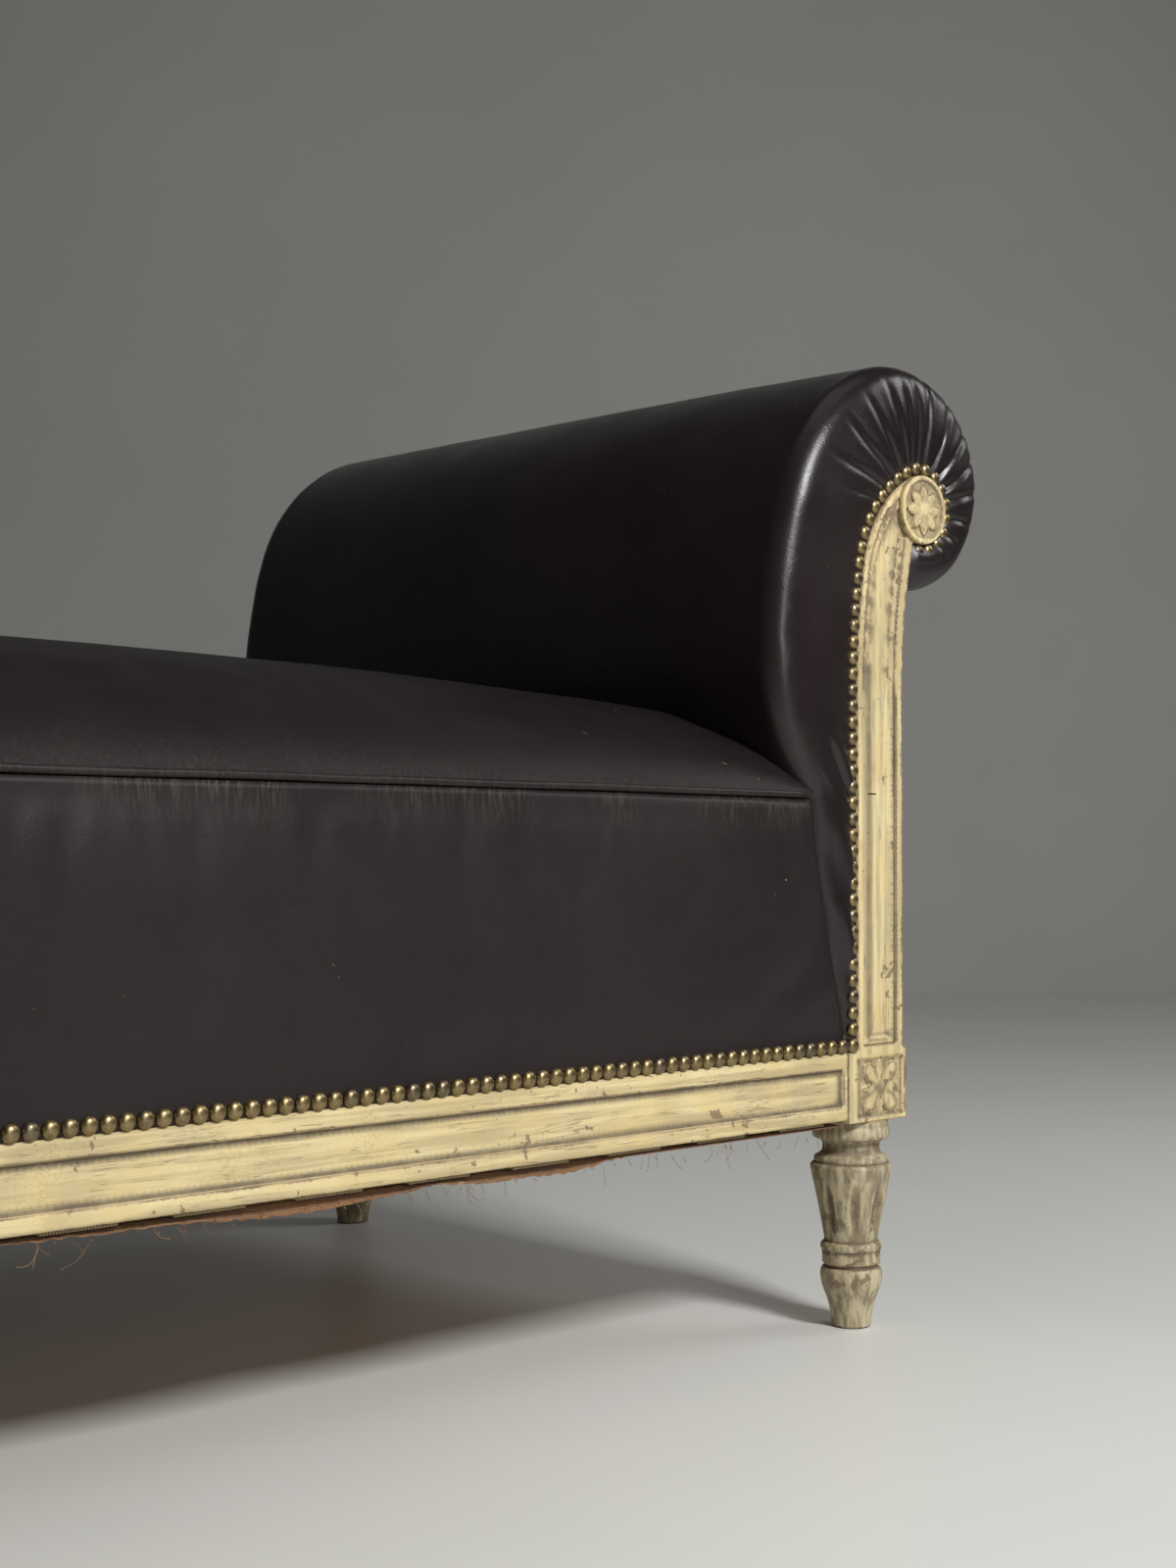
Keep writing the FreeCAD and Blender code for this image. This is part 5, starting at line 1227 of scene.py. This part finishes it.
def nailTree(dome, look):
    # Puts a dome on each point, square to the point's axis, a little turned, tilted and grown
    tree = bpy.data.node_groups.new("nailRow", "GeometryNodeTree")
    tree.interface.new_socket("Geometry", in_out="INPUT", socket_type="NodeSocketGeometry")
    for label, value in (("Tilt", look["tilt"]), ("Grow", look["grow"])):
        tree.interface.new_socket(label, in_out="INPUT", socket_type="NodeSocketFloat").default_value = value
    tree.interface.new_socket("Geometry", in_out="OUTPUT", socket_type="NodeSocketGeometry")
    given, result = tree.nodes.new("NodeGroupInput").outputs, tree.nodes.new("NodeGroupOutput")
    points = node("GeometryNodeMeshToPoints", {"Mesh": given["Geometry"]}).outputs[0]
    source = node("GeometryNodeObjectInfo", {"Object": dome}, tree).outputs["Geometry"]
    axis = node("GeometryNodeInputNamedAttribute", {"Name": "axis"}, tree, data_type="FLOAT_VECTOR")
    ways = {0: (-1, -1, -1), 1: (1, 1, 1), "Seed": look["seed"]}
    wobble = node("FunctionNodeRandomValue", ways, tree, data_type="FLOAT_VECTOR").outputs[0]
    aimed = shifted(axis.outputs[0], wobble, given["Tilt"])
    aligned = node("FunctionNodeAlignRotationToVector", {"Vector": aimed}, axis="Z").outputs[0]
    sizes = {2: -1, 3: 1, "Seed": look["seed"] + 1}
    size = node("FunctionNodeRandomValue", sizes, tree, data_type="FLOAT")
    growth = {0: size.outputs[1], 1: given["Grow"], 2: 1.0}
    grown = node("ShaderNodeMath", growth, operation="MULTIPLY_ADD").outputs[0]
    domes = node("GeometryNodeInstanceOnPoints", {
        "Points": points,
        "Instance": source,
        "Rotation": aligned,
        "Scale": grown,
    }).outputs[0]
    tones = {"Seed": look["seed"] + 2}
    tone = node("FunctionNodeRandomValue", tones, tree, data_type="FLOAT").outputs[1]
    kept = node("GeometryNodeStoreNamedAttribute", {"Geometry": domes, "Name": "tone", "Value": tone},
                data_type="FLOAT", domain="INSTANCE").outputs[0]
    real = node("GeometryNodeRealizeInstances", {"Geometry": kept}).outputs[0]
    finished = node("GeometryNodeSetMaterial", {"Geometry": real, "Material": brass}).outputs[0]
    plugged(result, {0: finished})
    return tree


domeHolder = bpy.data.objects.new("nailDome", domeMesh(nailLook))
scene.collection.objects.link(domeHolder)
rowTree = nailTree(domeHolder, nailLook)
for name in sorted(n for n in nodes if n.startswith("nails_")):
    spots, axes = zip(*nailSpots(nodes[name]))
    mesh = bpy.data.meshes.new(name)
    mesh.from_pydata([tuple(spot) for spot in spots], [], [])
    mesh.attributes.new("axis", "FLOAT_VECTOR", "POINT").data.foreach_set("vector", np.array(axes).ravel())
    kind, *words = name.split("_")
    row = placed(kind + "".join(word.title() for word in words), mesh, brass, False)
    row.modifiers.new("nails", "NODES").node_group = rowTree
    bpy.context.view_layer.update()
    applied(row)
    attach(row, "root")
    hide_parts(name)
bpy.data.objects.remove(domeHolder)
print("nails ready")

# Hessian under the seat, its torn hem hanging below the rails
hessianLook = {
    "hem": 8.5,
    "hemWide": 0.014,
    "sag": 3.5,
    "thick": 0.0008,
    "legPast": 0.0352,
    "legY": 0.316,
    "legHalf": 0.0312,
    "wholeFrom": (0.36, 0.50),
}


def bottomHessian():
    look = hessianLook
    low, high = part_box("bottom_hessian")
    xs = np.linspace(low.x + 0.001, high.x - 0.001, 780)
    hem = np.linspace(0, look["hemWide"], 8)
    start, end = low.y + 0.001, high.y - 0.001
    flatYs = np.linspace(start + look["hemWide"], end - look["hemWide"], 24)[1:-1]
    ys = np.concatenate([start + hem, flatYs, end - hem[::-1]])
    grid = gridOf(xs[:, None], ys, 0.0)
    flat = grid.reshape(-1, 3)
    inset = np.minimum(high.y - np.abs(flat[:, 1]), np.minimum(flat[:, 0] - low.x, high.x - flat[:, 0]))
    sag = look["sag"] * smoothStep(inset, 0.03, 0.2) * (0.8 + 0.4 * softNoise(flat, 0.2, 61))
    torn = softNoise(flat, 0.11, 62) + 0.4 * softNoise(flat, 0.04, 63) + 0.22 * softNoise(flat, 0.0045, 64)
    torn -= 0.9 * smoothStep(flat[:, 0], *look["wholeFrom"])
    drop = np.clip(0.5 + 0.6 * torn, 0.03, 1.3) * look["hem"] * smoothStep(0.011 - inset, 0, 0.011)
    flat[:, 2] = low.z - (sag + drop) * mm
    grid = flat.reshape(grid.shape)
    centreX, centreY = ((grid[:-1, :-1] + grid[1:, 1:]) / 2)[:, :, :2].transpose(2, 0, 1)
    pastLeg = (centreX > headX - look["legPast"]) | (centreX < footX + look["legPast"])
    byLeg = np.abs(np.abs(centreY) - look["legY"]) < look["legHalf"]
    mesh = tidied(sheetMesh("bottomHessian", grid, ~(pastLeg & byLeg), turned=True))
    obj = placed("bottomHessian", mesh, sackcloth)
    skinned(obj, look["thick"], 0)
    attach(obj, "root")
    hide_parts("bottom_hessian")
    return low, high


hemLow, hemHigh = bottomHessian()
print("hessian ready")

threadLook = {"count": 520, "thick": 0.00022, "onSides": 0.75, "shortest": 0.003, "longer": 0.017, "seed": 19}


def strayThreads():
    # Loose threads along the torn hem, each a short drooping curve
    look = threadLook
    rng = np.random.default_rng(look["seed"])
    curve = bpy.data.curves.new("strayThreads", "CURVE")
    curve.dimensions = "3D"
    curve.bevel_depth = look["thick"]
    curve.bevel_resolution = 0
    curve.resolution_u = 3
    for _ in range(look["count"]):
        if rng.random() < look["onSides"]:
            x = rng.uniform(footX + 0.05, headX - 0.05)
            y = rng.choice((-1, 1)) * (hemHigh.y - 0.001)
            out = np.array([0, np.sign(y), 0])
        else:
            x = rng.choice((hemLow.x + 0.001, hemHigh.x - 0.001))
            y = rng.uniform(-0.26, 0.26)
            out = np.array([np.sign(x), 0, 0])
        start = np.array([x, y, hemLow.z - rng.uniform(0.001, 0.006)])
        sideways = np.array([out[1], -out[0], 0]) * rng.uniform(-1, 1)
        length = look["shortest"] + look["longer"] * rng.random() ** 3
        middle = start + (sideways * 0.5 + [0, 0, -0.55]) * length
        tip = start + (sideways * rng.uniform(0.4, 1.3) + [0, 0, rng.uniform(-1.0, -0.5)]) * length
        spline = curve.splines.new("BEZIER")
        spline.bezier_points.add(2)
        for point, spot in zip(spline.bezier_points, (start, middle, tip)):
            point.co = spot
            point.handle_left_type = point.handle_right_type = "AUTO"
    obj = placed("strayThreads", meshOf(curve), sackcloth)
    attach(obj, "root")


strayThreads()
print("threads ready")


# Floor, wall and lights
def stagePlane(name, paint, corners, color, roughness):
    material, shader, coordinates = newMaterial(paint)
    tone = ranged(noiseAt(coordinates, 1.3, 4.0), 0.3, 0.7)
    darker = tuple(channel * 0.93 for channel in color)
    plugged(shader, {"Base Color": mixColor(tone, color, darker), "Roughness": roughness})
    mesh = bpy.data.meshes.new(name)
    mesh.from_pydata(corners, [], [(0, 1, 2, 3)])
    obj = placed(name, mesh, material, False)


floorLow, wallHigh = -0.0005, 4
floorCorners = [(x, y, floorLow) for x, y in ((-6, -6), (7, -6), (7, 8), (-6, 8))]
stagePlane("floor", "paleFloor", floorCorners, room["floor"], 0.42)
away = Vector((across, along, 0)).normalized()
side = Vector((along, -across, 0)).normalized()
middle = Vector(room["camera"]) + away * room["wallAway"]
left, right = middle - side * 6, middle + side * 6
wallCorners = ((left, floorLow), (right, floorLow), (right, wallHigh), (left, wallHigh))
stagePlane("wall", "greyWall", [(end.x, end.y, z) for end, z in wallCorners], room["wall"], 0.9)

lamps = {
    "key": {"place": (0.40, -2.5, 1.98), "aim": (0.40, -0.4, 0.2), "power": 70, "size": (0.55, 0.55)},
    "strip": {"place": (-0.25, -3.3, 1.05), "aim": (0.62, -0.34, 0.6), "power": 11, "size": (0.14, 0.8)},
    "rim": {"place": (2.6, -1.2, 1.9), "aim": (0.6, 0.0, 0.5), "power": 12, "size": (0.9, 0.9)},
    "top": {"place": (0.6, -0.4, 3.0), "aim": (0.4, 0.0, 0.0), "power": 5, "size": (1.8, 1.8)},
}
for name, lamp in lamps.items():
    data = bpy.data.lights.new(name, "AREA")
    data.shape = "RECTANGLE"
    data.energy = lamp["power"]
    data.size, data.size_y = lamp["size"]
    light = bpy.data.objects.new(name, data)
    scene.collection.objects.link(light)
    light.location = lamp["place"]
    light.rotation_euler = (Vector(lamp["aim"]) - Vector(lamp["place"])).to_track_quat("-Z", "Y").to_euler()
scene.world = bpy.data.worlds.new("world")
scene.world.use_nodes = True
background = scene.world.node_tree.nodes["Background"].inputs
background["Color"].default_value = (0.9, 0.93, 1.0, 1)
background["Strength"].default_value = 0.045
print("stage ready")
